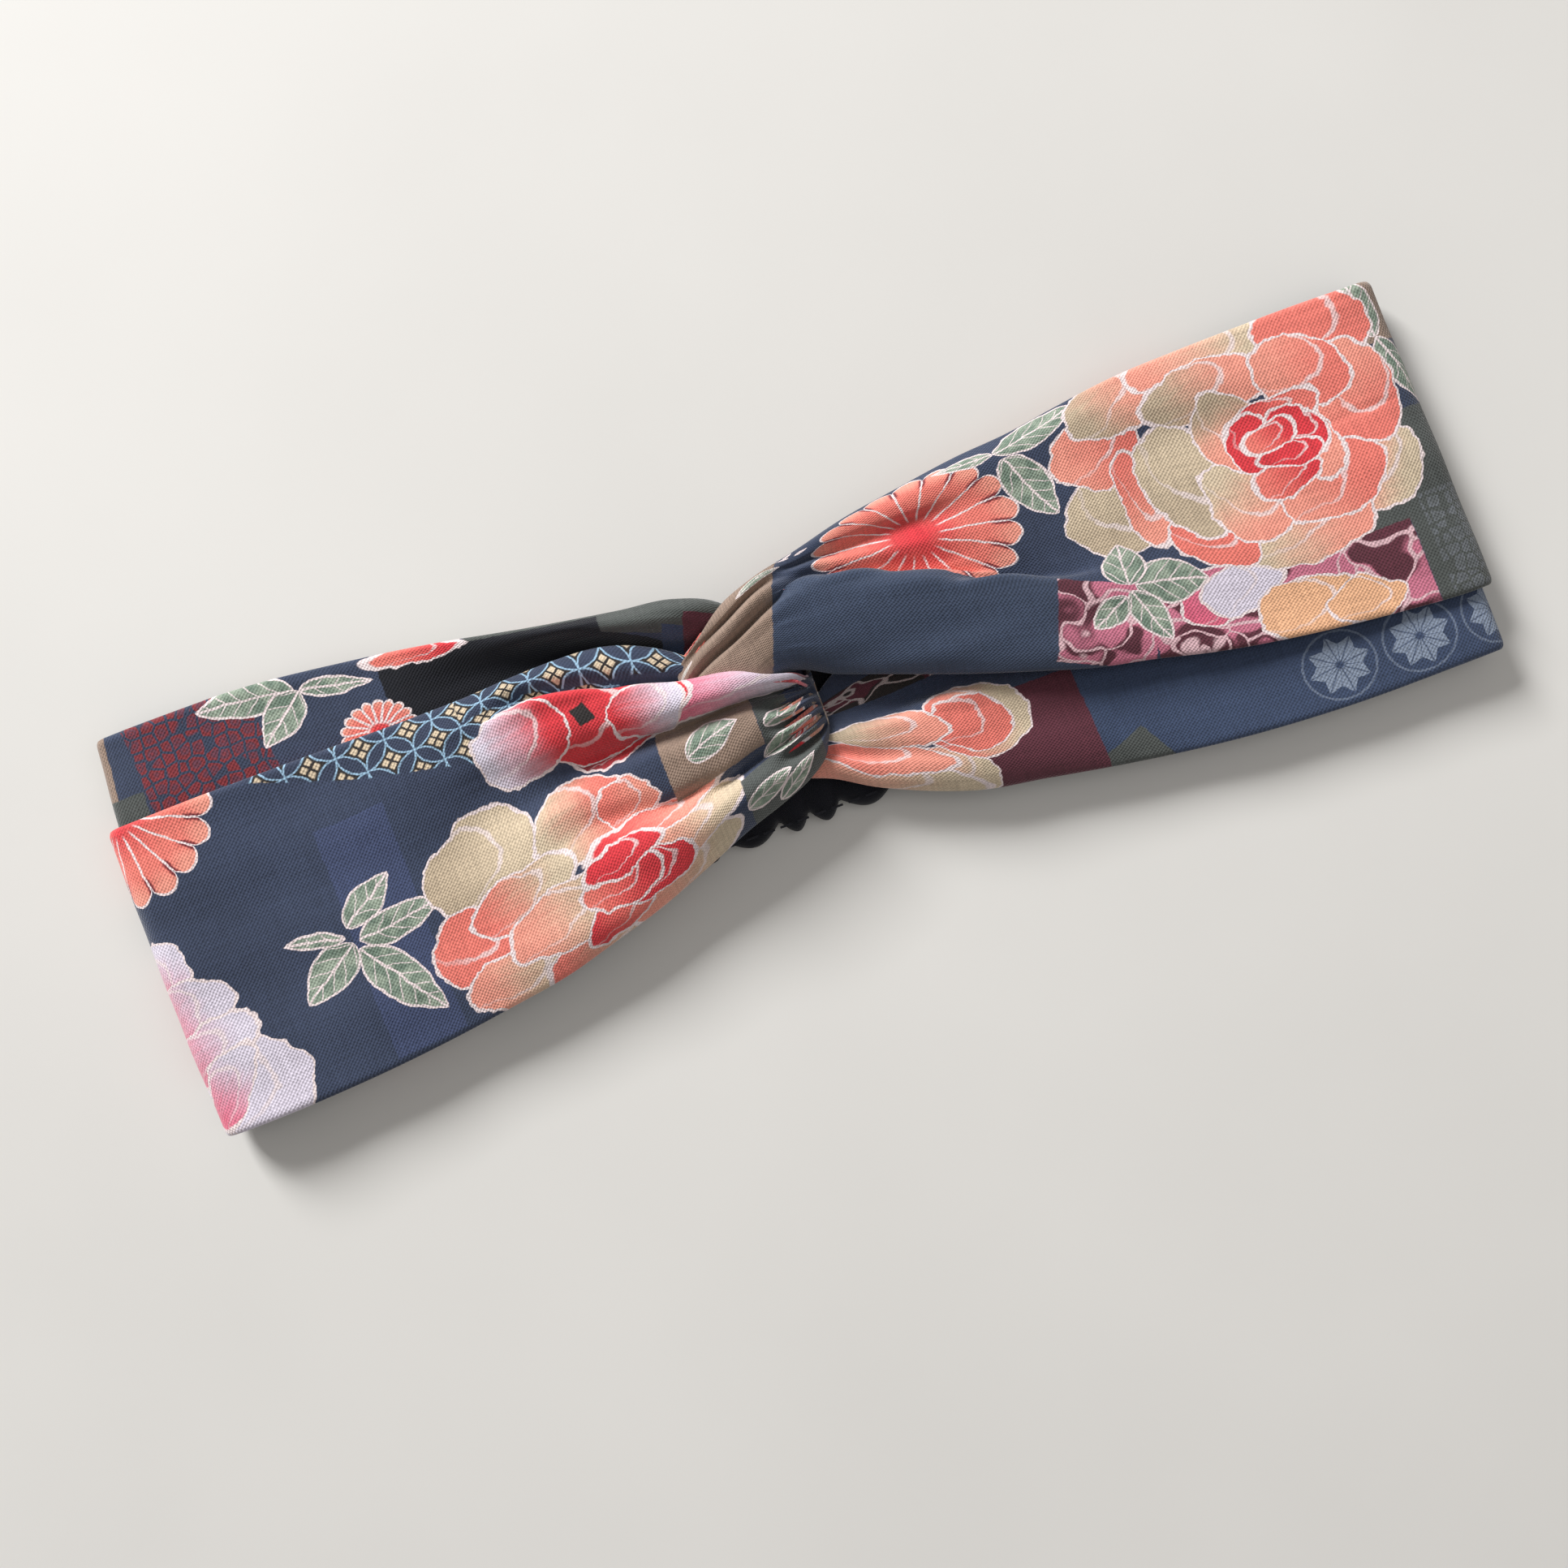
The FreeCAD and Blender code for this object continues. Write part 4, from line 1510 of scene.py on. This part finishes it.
def left_profiles() -> tuple[dict[float, Profile], list[tuple[float, Profile]], dict[float, Profile]]:
    """The left band's legs and turn, listed across the cloth.

    Returns:
        The top leg, the turn in the knot and the under leg.
    """
    top: dict[float, Profile] = {
        -100.0: [(-29, -36.6, 8.3), (0, -8, 8.4), (29, 21.2, 8.3)],
        -80.0: [(-29, -35, 8.2), (-15, -21.5, 8.8), (0, -7.4, 8.5), (15, 7.4, 8.7), (29, 21.1, 8.2)],
        -66.0: [(-29, -33.2, 7.9), (-20, -25.4, 9.0), (-8, -13.4, 9.0), (2, -4, 8.2), (10, 4.4, 8.6),
                (20, 13.6, 9.4), (29, 21.0, 8.0)],
        -55.0: [(-29, -31.6, 7.7), (-24, -27.6, 9.0), (-10, -14.6, 9.4), (0, -5, 8.9), (5, 0.5, 7.7),
                (9, 4.4, 8.0), (14, 9.2, 10.0), (20, 14.6, 10.4), (25, 18.4, 9.6), (29, 21.2, 8.1)],
        -45.0: [(-29, -29, 7.7), (-24, -25.6, 9.6), (-16, -18, 10.6), (-9, -11.4, 10.0), (-6.5, -9, 9.1),
                (-1, -4, 9.7), (4, 1, 7.6), (6.5, 3.4, 8.1), (10, 6.4, 11.0), (16, 12.4, 12.2),
                (20, 16.4, 11.8), (21.5, 16.6, 8.8), (25, 19.4, 10.0), (29, 21.8, 8.2)],
        -35.0: [(-29, -26.2, 7.8), (-24, -23.2, 10.2), (-16, -16, 12.0), (-11, -11.4, 11.0),
                (-8.5, -9.2, 9.0), (-3, -5, 10.3), (3, 0.2, 9.4), (5.5, 2.4, 7.9), (8, 4.2, 10.0),
                (12, 7.6, 13.0),
                (17, 12.2, 13.4), (20, 14.8, 12.8), (21.5, 14.4, 8.6), (25, 18, 10.6), (29, 21.8, 8.4)],
        -25.0: [(-29, -22.5, 8.2), (-24, -20, 11.2), (-16, -14.4, 13.2), (-12, -11, 12.2), (-10, -9.4, 9.6),
                (-8, -8, 11.2), (-3, -4, 12.2), (2, 0.6, 11.4), (5, 2.8, 8.6), (7, 3.5, 11.5),
                (11, 6.4, 14.4), (15, 9.6, 14.6), (18, 12, 13.2), (20, 11.2, 8.4), (24, 15, 10.8),
                (29, 19.8, 9.0)],
        -16.0: [(-29, -19.0, 8.4), (-25, -16.8, 11.2), (-19, -13.1, 13.6), (-15, -10.6, 12.8),
                (-13, -9.2, 10.2), (-10, -7.4, 12.4), (-5, -3, 13.4), (0, 0.8, 12.6), (3.5, 2.7, 9.4),
                (6, 3.3, 12.8),
                (9, 5, 15.2), (13, 7.6, 15.4), (16, 9.6, 13.6), (19, 9.0, 8.3), (23, 11, 9.4),
                (29, 14.4, 8.6)],
        -8.0: [(-29, -16.4, 8.2), (-25, -14.2, 11.0), (-20, -11.0, 13.2), (-15.5, -8, 12.2), (-13, -7, 11),
               (-10, -5.4, 12.8), (-5, -2, 13.8), (0, 1.2, 12.4), (3.5, 2.9, 9.8), (6, 3.4, 13.4),
               (9, 4.7, 15.8), (13, 6.8, 15.8), (16, 7.9, 14.2), (19.5, 6.6, 9.6), (24, 6.4, 8.4),
               (29, 6, 7.6)],
        -3.0: [(-29, -14.4, 8.0), (-26, -13.0, 10.4), (-22, -10.4, 12.4), (-18.5, -8.4, 10.2),
               (-15.5, -6.8, 12.8), (-13, -6, 10.4), (-10, -4.6, 13.0), (-7, -3.2, 10.6),
               (-4, -1.8, 13.2), (-1, -0.4, 10.6),
               (2, 1.2, 12.2), (4, 2.2, 9.8), (7, 3.1, 13.0), (10, 4.2, 15.0), (14, 5.4, 15.0),
               (19, 4.8, 10.0), (24, 4, 8.6), (29, 3, 7.6)],
        0.0: [(-29, -12.6, 7.9), (-26, -11.2, 10.0), (-22, -9.2, 11.8), (-18.5, -7.4, 9.2),
              (-15.5, -6.0, 12.0),
              (-13, -5, 9.2), (-10, -3.8, 12.2), (-7, -2.6, 9.4), (-4, -1.2, 12.4), (-1, 0, 9.6),
              (2, 1.0, 11.6), (4, 1.8, 9.4), (7, 2.8, 12.2), (10, 3.8, 13.8), (14, 4.6, 13.6),
              (19, 4.0, 9.8), (24, 3, 8.6), (29, 2, 7.8)],
    }
    turn: list[tuple[float, Profile]] = [
        (2.4, [(-29, -9.6, 7.4), (-22, -7.4, 10.0), (-18.5, -6.4, 8.0), (-15.5, -5.0, 10.2),
               (-13, -4.2, 8.0),
               (-10, -3.0, 10.4), (-7, -2.0, 8.2), (-4, -0.8, 10.4), (-1, 0.2, 8.2), (4, 1.6, 9.2),
               (10, 2.8, 10.4), (20, 3, 9.0), (29, 2, 7.8)]),
        (3.6, [(-29, -7, 6.8), (-15, -4, 8.0), (0, 0, 7.8), (15, 3, 8.2), (29, 4, 7)]),
    ]
    under: dict[float, Profile] = {
        0.0: [(-29, 0, 6.0), (-10, 3, 6.8), (10, 8, 6.8), (29, 13, 6.4)],
        -7.0: [(-29, -1, 6.0), (-10, 4, 6.8), (8, 11, 7.0), (20, 17, 8.2), (26, 20, 8.4), (29, 21.2, 7.4)],
        -14.0: [(-29, -4, 6.2), (-10, 4, 6.6), (6, 11, 6.8), (14, 15.4, 6.2), (18, 18.0, 9.4),
                (24, 21.6, 11.4), (29, 24.3, 9.6)],
        -24.0: [(-29, -7, 6.2), (-10, 2, 6.6), (6, 13, 6.6), (12, 18, 5.9), (16, 20.2, 8.6), (22, 23, 11.4),
                (29, 25.9, 9.6)],
        -36.0: [(-29, -10, 6.3), (-10, 4, 6.4), (8, 17, 6.4), (16, 22.4, 5.8), (20, 24.4, 8.0),
                (25, 26.2, 10.8), (29, 28.0, 9.4)],
        -53.0: [(-29, -17, 6.4), (0, 8, 6.2), (18, 23.4, 5.8), (25, 28.8, 8.2), (29, 31.1, 8.4)],
        -70.0: [(-29, -20, 6.4), (0, 7.4, 6.4), (29, 34.2, 6.4)],
        -98.0: [(-29, -21, 6.4), (0, 8, 6.4), (29, 37.0, 6.4)],
    }
    return top, turn, under


def right_profiles() -> tuple[dict[float, Profile], list[tuple[float, Profile]], dict[float, Profile]]:
    """The right band's legs and turn, listed across the cloth.

    Returns:
        The top leg, the turn in the knot and the under leg.
    """
    top: dict[float, Profile] = {
        100.0: [(-29, -22.6, 9.0), (-8, -3, 8.8), (8, 13, 8.4), (20, 25, 8.8), (29, 34.4, 8.2)],
        84.0: [(-29, -20.4, 9.5), (-8, -2, 9.2), (6, 12, 8.4), (12, 18, 8.2), (20, 26, 9.2),
               (29, 34.2, 8.2)],
        72.0: [(-29, -18.2, 9.9), (-20, -10.4, 10.2), (-8, 1.2, 9.2), (2, 10, 8.8), (11, 18.4, 8.6),
               (19, 26, 9.7), (29, 33.8, 8.3)],
        60.0: [(-29, -15.4, 10.4), (-24, -11.4, 11.2), (-17, -5.4, 11.0), (-12, -0.8, 10.7),
               (-9, 1.8, 10.0),
               (-5, 5, 9.5), (4, 12.8, 10.0), (14, 21.2, 10.0), (22, 28, 10.4), (29, 32.4, 8.5)],
        51.0: [(-29, -13.6, 10.8), (-24, -10, 12.0), (-17, -3.9, 12.2), (-11, 1.4, 12.1), (-9, 3.3, 11.6),
               (-7.4, 3.6, 10.2), (-3, 6.8, 9.7), (6, 14.2, 10.4), (14, 20.8, 10.3), (22, 27.4, 10.7),
               (29, 31.2, 8.6)],
        41.0: [(-29, -10.6, 11.2), (-24, -7.4, 12.6), (-17, -1.6, 13.2), (-10, 4.8, 13.4),
               (-7.6, 7.6, 12.8),
               (-6.4, 6.6, 10.4), (-3, 8.4, 9.8), (6, 15.4, 11.2), (13, 21.0, 10.8), (22, 27.0, 11.1),
               (29, 30.4, 8.9)],
        30.0: [(-29, -7, 11.4), (-24, -4.2, 13.0), (-17, 1, 14.0), (-10, 7, 14.8), (-5.2, 11.4, 14.4),
               (-3.4, 12.6, 13.2), (-2, 11.2, 10.6), (2, 13, 10.4), (8, 18, 12.0), (13, 21.6, 10.9),
               (14.6, 22.4, 10.9), (17, 23.6, 12.0), (23, 26.8, 11.9), (29, 28.9, 9.2)],
        18.0: [(-29, -2.6, 11.2), (-24, 0, 13.2), (-17, 4.6, 14.8), (-10, 10.2, 15.6), (-4, 15, 15.3),
               (-1.2, 17.1, 13.8), (0, 15.8, 11.0), (4, 16.8, 11.0), (8, 19.6, 12.2), (11.5, 21.8, 10.7),
               (13, 22.6, 11.0), (16, 23.8, 12.3), (22, 25.8, 12.0), (29, 26.9, 9.4)],
        8.0: [(-29, 1.2, 11.0), (-24, 3, 13.0), (-17, 7, 15.2), (-9, 12.4, 16.2), (-2, 17.4, 15.6),
              (1, 19.3, 14.0), (3, 18.4, 12), (6, 19.4, 12), (10, 21.0, 12.8), (12.5, 21.8, 11.8),
              (16, 22.6, 12.5), (22, 24.0, 12.0), (29, 24.3, 9.6)],
        0.0: [(-29, 4.6, 9.8), (-24, 5.8, 12.6), (-17, 8.8, 15.2), (-9, 12.6, 16.2), (-3, 15.4, 15.9),
              (-0.4, 16.2, 13.6), (2.4, 17.4, 15.4), (7, 19.4, 15.2), (9.6, 20.0, 12.8), (13, 21.2, 13.8),
              (20, 22.4, 12.4), (29, 22.2, 9.4)],
    }
    turn: list[tuple[float, Profile]] = [
        (-7.0, [(-29, 2.8, 8.8), (-23, 4.2, 11.8), (-15, 7.2, 13.6), (-8, 10.8, 14.6), (-4, 12.4, 14.6),
                (-1.6, 13.0, 12.0), (1.4, 14.4, 14.4), (6, 16.2, 14.2), (9, 17.0, 11.6), (12, 17.8, 12.8),
                (17, 19.2, 12.2), (22, 20, 10.6), (29, 19.4, 8.6)]),
        (-14.0, [(-29, 1, 7.8), (-20, 4.4, 10.2), (-12, 7.2, 12.0), (-6, 9.6, 12.6), (-3, 10.4, 10.6),
                 (0.6, 11.8, 12.4), (5, 13.0, 12.0), (8, 13.6, 10.2), (16, 14.8, 10.6), (22, 15, 9.6),
                 (29, 14.6, 8)]),
        (-18.4, [(-29, -1, 7.0), (-15, 4, 8.4), (0, 8, 9.4), (15, 11, 9.0), (29, 12, 7.6)]),
        (-17.0, [(-29, -4, 6.8), (0, 3, 7.2), (29, 9, 7.4)]),
    ]
    under: dict[float, Profile] = {
        -6.0: [(-29, -12.4, 6.2), (-10, -8, 7.2), (10, -4, 7.2), (29, 0, 6.6)],
        1.5: [(-29, -16.0, 6.2), (-26.5, -14.4, 8.2), (-22, -11.6, 9.0), (-20, -10.6, 8.0), (-14, -9, 8.4),
              (-8, -7.5, 8), (0, -5.6, 7), (14, -3, 6.4), (29, -1, 6)],
        7.0: [(-29, -19.4, 6.0), (-26.5, -18, 7.9), (-22, -14.6, 9.0), (-20, -13.6, 8.2), (-14, -10.8, 9.4),
              (-8, -8.4, 8.8), (-4, -7.2, 7.2), (2, -5.4, 6.2), (14, -2, 6), (29, 2, 6)],
        14.0: [(-29, -22.8, 5.9), (-26.5, -21.2, 7.8), (-21, -17, 9.0), (-19, -15.8, 8.6),
               (-13, -12.2, 9.8),
               (-7, -9.2, 9.4), (-4, -8.2, 7.4), (2, -5.8, 6.2), (14, -1, 6), (29, 4, 6)],
        25.0: [(-29, -26.8, 5.9), (-26, -24.8, 7.6), (-16, -17.8, 9.2), (-8, -12, 9.6), (-3.4, -8.6, 9.0),
               (-1.6, -7.8, 7.2), (5, -4, 6.2), (18, 3, 6.1), (29, 7, 6.1)],
        36.0: [(-29, -28.8, 6.0), (-26, -26.6, 7.4), (-14, -17.6, 8.4), (-6, -11.6, 8.2), (-2, -9, 7.2),
               (4, -5, 6.4), (18, 5, 6.2), (29, 10, 6.2)],
        50.0: [(-29, -31.2, 6.2), (-24, -27.2, 7.0), (-12, -17, 7.2), (-2, -9, 6.6), (29, 14, 6.3)],
        73.0: [(-29, -34.2, 6.3), (0, -7, 6.5), (29, 19, 6.4)],
        98.0: [(-29, -35.6, 6.4), (0, -6.6, 6.4), (29, 22.2, 6.4)],
    }
    return top, turn, under


@dataclass
class Casing:
    """The gathered navy casing that holds the elastic at the back."""

    low: tuple[float, float, float]
    high: tuple[float, float, float]
    gather: float = 1.7
    scallop: float = 2.8
    folds: int = 15
    fold_widths: Pair = (3.4, 7.2)
    row_count: int = 260
    around: int = 96
    seed: int = 11
    name: str = "elastic_casing_cloth"

    def build(self, material: bpy.types.Material) -> bpy.types.Object:
        """The casing's mesh: a flat tube with ruffles across it.

        Args:
            material: the casing's cotton.

        Returns:
            The casing, with its cloth coordinates in millimetres.
        """
        length = self.high[0] - self.low[0]
        rows = np.linspace(0.0, 1.0, self.row_count)
        around = self.around
        x = self.low[0] + rows * length
        chance = np.random.default_rng(self.seed)
        folds = np.cumsum(chance.uniform(*self.fold_widths, self.folds))
        folds = folds / folds[-1] * 1.02
        phase = np.interp(rows, np.concatenate([[0.0], folds]), np.arange(len(folds) + 1) * math.pi)
        ridge = np.abs(np.sin(phase))
        calm = np.clip(np.minimum(rows, 1 - rows) * 14.0, 0.0, 1.0)
        middle_y = (self.low[1] + self.high[1]) / 2.0
        half_y = (self.high[1] - self.low[1]) / 2.0
        middle_z = (self.low[2] + self.high[2]) / 2.0
        half_z = (self.high[2] - self.low[2]) / 2.0
        turn = np.linspace(0.0, 2 * math.pi, around, endpoint=False)
        c, s = np.cos(turn), np.sin(turn)
        flat_c = np.sign(c) * np.abs(c) ** 0.35
        flat_s = np.sign(s) * np.abs(s) ** 0.6
        notch = ((1.0 - ridge) * calm)[:, None] * np.abs(flat_c)[None, :] ** 3
        reach = half_y - self.scallop * notch
        drift = Ripple(self.seed, (31.0, 19.0))
        skew = drift.at(x[:, None], flat_c[None, :] * half_y) * 0.8
        ridge_at = np.abs(np.sin(phase[:, None] + skew + 0.5 * flat_c[None, :]))
        depth = half_z * (1.0 - 0.38 * (1.0 - ridge_at) * calm[:, None] * (flat_s > 0)[None, :])
        points = np.stack([
            np.broadcast_to(x[:, None], (len(rows), around)),
            middle_y + flat_c[None, :] * reach,
            middle_z + flat_s[None, :] * depth,
        ], axis=2)
        points[..., 2] = np.maximum(points[..., 2], 0.0)
        faces, uvs = [], []
        for i in range(len(rows) - 1):
            for j in range(around):
                faces.append(quad(i, j, around))
                for row, column in ((i, j), (i, j + 1), (i + 1, j + 1), (i + 1, j)):
                    uvs.append((x[row] * self.gather, column / around * 4.0 * half_y))
        made = make_mesh(self.name, points.reshape(-1, 3), faces, uvs, [0] * len(faces), [material])
        thicken(made)
        return made


# ---------------------------------------------------------------- threads and elastic

@dataclass(frozen=True)
class Thread:
    """Twisted sewing thread."""

    colour: Colour = DEEP_NAVY
    twist_height: float = 0.06

    def material(self, name: str) -> bpy.types.Material:
        """The thread's material, with its twist and a painted highlight on the twist's ridges.

        Args:
            name: the material's name.

        Returns:
            The new material.
        """
        made, g, shader = start_material(name)
        x, y = g.split(g.in_millimetres(g.node("ShaderNodeTexCoord").outputs["Object"]))
        twist = g.math("SINE", (x + y * 1.3) * 14.0) * 0.5 + 0.5
        # Painted highlight: the colour is lighter on the twist's ridges, where the bump rises, and darker
        # in its grooves.
        g.plug(shader.inputs["Base Color"], g.mix(twist, self.colour, scaled(self.colour, 2.2)))
        g.plug(shader.inputs["Roughness"], twist * 0.2 + 0.6)
        g.bump(shader, twist, self.twist_height)
        return made


@dataclass(frozen=True)
class Elastic:
    """Woven elastic: pale, with ribs across it."""

    colour: Colour = srgb(214, 212, 204)
    rib_height: float = 0.1

    def material(self, name: str) -> bpy.types.Material:
        """The elastic's material, with painted shade in the grooves between its ribs.

        Args:
            name: the material's name.

        Returns:
            The new material.
        """
        made, g, shader = start_material(name)
        x, y = g.split(g.in_millimetres(g.node("ShaderNodeTexCoord").outputs["Object"]))
        ribs = g.math("SINE", y * 5.0) * 0.3 + g.math("SINE", x * 9.0) * 0.2 + 0.5
        # Painted shade: the colour darkens in the grooves between the ribs, where the bump is low.
        g.plug(shader.inputs["Base Color"], g.multiply_colour(self.colour, ribs * 0.3 + 0.8))
        g.plug(shader.inputs["Roughness"], ribs * 0.1 + 0.7)
        g.bump(shader, ribs, self.rib_height)
        return made


# ---------------------------------------------------------------- the studio

@dataclass
class Studio:
    """A pale table, soft light from above and to the upper left, and the camera."""

    middle: tuple[float, float, float]
    camera_height: float = 0.307
    camera_turn: float = -20.6
    camera_shift: Pair = (-0.0075, -0.0131)
    lens: float = 39.0
    room_colour: Colour = (1.0, 0.97, 0.94, 1.0)
    room_strength: float = 0.30

    def light(self, name: str, place: tuple[float, float, float], size: float, power: float) -> None:
        """A square soft light that points at the middle of the object.

        Args:
            name: the light's name.
            place: where it is, in metres.
            size: its square's side, in metres.
            power: its power in watts.
        """
        data = bpy.data.lights.new(name, "AREA")
        data.size = size
        data.energy = power
        lamp = bpy.data.objects.new(name, data)
        bpy.context.scene.collection.objects.link(lamp)
        lamp.location = place
        aim = np.array(self.middle) - np.array(place)
        flat = math.hypot(aim[0], aim[1])
        lamp.rotation_euler = (math.atan2(flat, -aim[2]), 0.0, math.atan2(-aim[0], aim[1]))

    def floor(self) -> None:
        """The table top."""
        bpy.ops.mesh.primitive_plane_add(size=6.0, location=(0, 0, -0.0001))
        table = bpy.context.object
        table.name = "table"
        made, g, shader = start_material("table_top")
        grain = g.noise(Num(g, g.node("ShaderNodeTexCoord").outputs["Object"]), 9.0, 5.0)
        g.plug(shader.inputs["Base Color"], g.mix(grain, srgb(208, 206, 202), srgb(222, 220, 216)))
        g.plug(shader.inputs["Roughness"], grain * 0.1 + 0.6)
        table.data.materials.append(made)
        table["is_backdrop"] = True

    def build(self) -> None:
        """Floor, lights, world and camera."""
        self.floor()
        self.light("window", place=(-0.62, 1.46, 0.86), size=0.62, power=50.0)
        self.light("fill", place=(0.5, -0.1, 0.9), size=0.8, power=1.4)
        world = bpy.data.worlds.new("room")
        world.use_nodes = True
        background = world.node_tree.nodes["Background"]
        background.inputs["Color"].default_value = self.room_colour
        background.inputs["Strength"].default_value = self.room_strength
        bpy.context.scene.world = world
        data = bpy.data.cameras.new("camera")
        data.lens = self.lens
        data.clip_start = 0.01
        camera = bpy.data.objects.new("camera", data)
        bpy.context.scene.collection.objects.link(camera)
        camera.location = (*self.camera_shift, self.camera_height)
        camera.rotation_euler = (0.0, 0.0, math.radians(self.camera_turn))
        bpy.context.scene.camera = camera
        bpy.context.scene.view_settings.view_transform = "Standard"


# ---------------------------------------------------------------- assembly

def millimetres(corner: Sequence[float]) -> list[float]:
    """A corner in millimetres."""
    return [value / MM for value in corner]


BAND_PARTS = ("top_leg", "under_leg", "knot_turn", "outer_fold", "inner_fold", "back_outer_leg",
              "back_inner_leg")
BAND_FLAT_WIDTH = 0.118
CASING_PITCH = 0.34


def make_band(side: str) -> Band:
    """A band whose folds, legs and join lie where the frame has them.

    Args:
        side: left or right.

    Returns:
        The band, not yet built.
    """
    fold_low, fold_high = (millimetres(c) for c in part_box(f"{side}_band_outer_fold"))
    under_low, under_high = (millimetres(c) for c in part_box(f"{side}_band_inner_fold"))
    join_low, join_high = (millimetres(c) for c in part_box("elastic_casing"))
    sign = -1 if side == "left" else 1
    fold_z = (fold_low[2] + fold_high[2]) / 2.0
    top, turn, under = left_profiles() if side == "left" else right_profiles()
    return Band(
        side=sign,
        half_width=(fold_high[1] - fold_low[1]) / 2.0,
        fold_x=fold_high[0] if side == "left" else fold_low[0],
        fold_z=fold_z,
        top_z=fold_high[2],
        under_z=under_high[2],
        top_centre=(fold_low[1] + fold_high[1]) / 2.0,
        under_centre=(under_low[1] + under_high[1]) / 2.0,
        join_x=join_low[0] if side == "left" else join_high[0],
        join_y=(join_low[1], join_high[1]),
        top_profiles=top,
        turn_profiles=turn,
        under_profiles=under,
        splits=LEFT_SPLITS if side == "left" else RIGHT_SPLITS,
        fold_skew=LEFT_FOLD_SKEW if side == "left" else RIGHT_FOLD_SKEW,
        seed=3 if side == "left" else 5,
    )


def dress_band(band: Band, side: str, top: tuple[Motif, ...], under: tuple[Motif, ...]) -> None:
    """Build a band and hide the frame's parts of that band.

    Args:
        band: the band.
        side: left or right.
        top: what is printed on the top leg's cloth, the lowest first.
        under: the same for the cloth past the knot, painted shade included.
    """
    limits = (math.inf,) + band.splits + (-math.inf,)
    prints = [tuple(m for m in top if m.at[0] * band.side + m.reach() > inner
                    and m.at[0] * band.side - m.reach() < outer)
              for outer, inner in zip(limits, limits[1:])]
    prints.append(under)
    cloth = band.build([PrintedCotton(f"{side}_print_{n}", NAVY, motifs).material()
                        for n, motifs in enumerate(prints)])
    z = band.fold_z * MM
    x = band.fold_x * MM
    zone = FOLD_ZONE * MM
    z + zone
    z - zone
    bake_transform(cloth)
    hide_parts(*(f"{side}_band_{part}" for part in BAND_PARTS))
    flat = (BAND_FLAT_WIDTH, round(band.flat_length() * MM, 4))
    LOG.info("%s: cut %.0f by %.0f mm, %d vertices, motifs per stretch %s", band.name, flat[0] / MM,
             flat[1] / MM, len(cloth.data.vertices), [len(motifs) for motifs in prints])


def dress_casing() -> None:
    """Build the casing and hide the frame's casing part."""
    low, high = (millimetres(c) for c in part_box("elastic_casing"))
    casing = Casing(low=tuple(low), high=tuple(high))
    cloth = casing.build(PrintedCotton("casing_navy", DEEP_NAVY, pitch=CASING_PITCH).material())
    middle_y = (low[1] + high[1]) / 2.0 * MM
    low[0] * MM
    high[0] * MM
    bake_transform(cloth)
    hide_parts("elastic_casing")
    LOG.info("%s: %d vertices", casing.name, len(cloth.data.vertices))


def dress_small_parts() -> None:
    """Give the pieces that keep their own shape their materials."""
    thread = Thread().material("navy_thread")
    elastic = Elastic().material("ribbed_elastic")
    for name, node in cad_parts.items():
        if name.endswith(("stitches", "tack", "strip")):
            node.data.materials.clear()
            node.data.materials.append(elastic if name.endswith("strip") else thread)
            LOG.info("%s: %s", name, node.data.materials[0].name)


def main() -> None:
    """Build the studio and every piece of the headband."""
    logging.basicConfig(level=logging.INFO, format="%(message)s")
    low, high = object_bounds()
    Studio(middle=tuple((a + b) / 2.0 for a, b in zip(low, high))).build()
    dress_band(make_band("left"), "left", LEFT_TOP_PRINT + BACK_MOTIFS_LEFT, LEFT_UNDER_PRINT_AND_SHADE)
    dress_band(make_band("right"), "right", RIGHT_TOP_PRINT + BACK_MOTIFS_RIGHT, RIGHT_UNDER_PRINT)
    dress_casing()
    dress_small_parts()


if __name__ == "__main__":
    main()
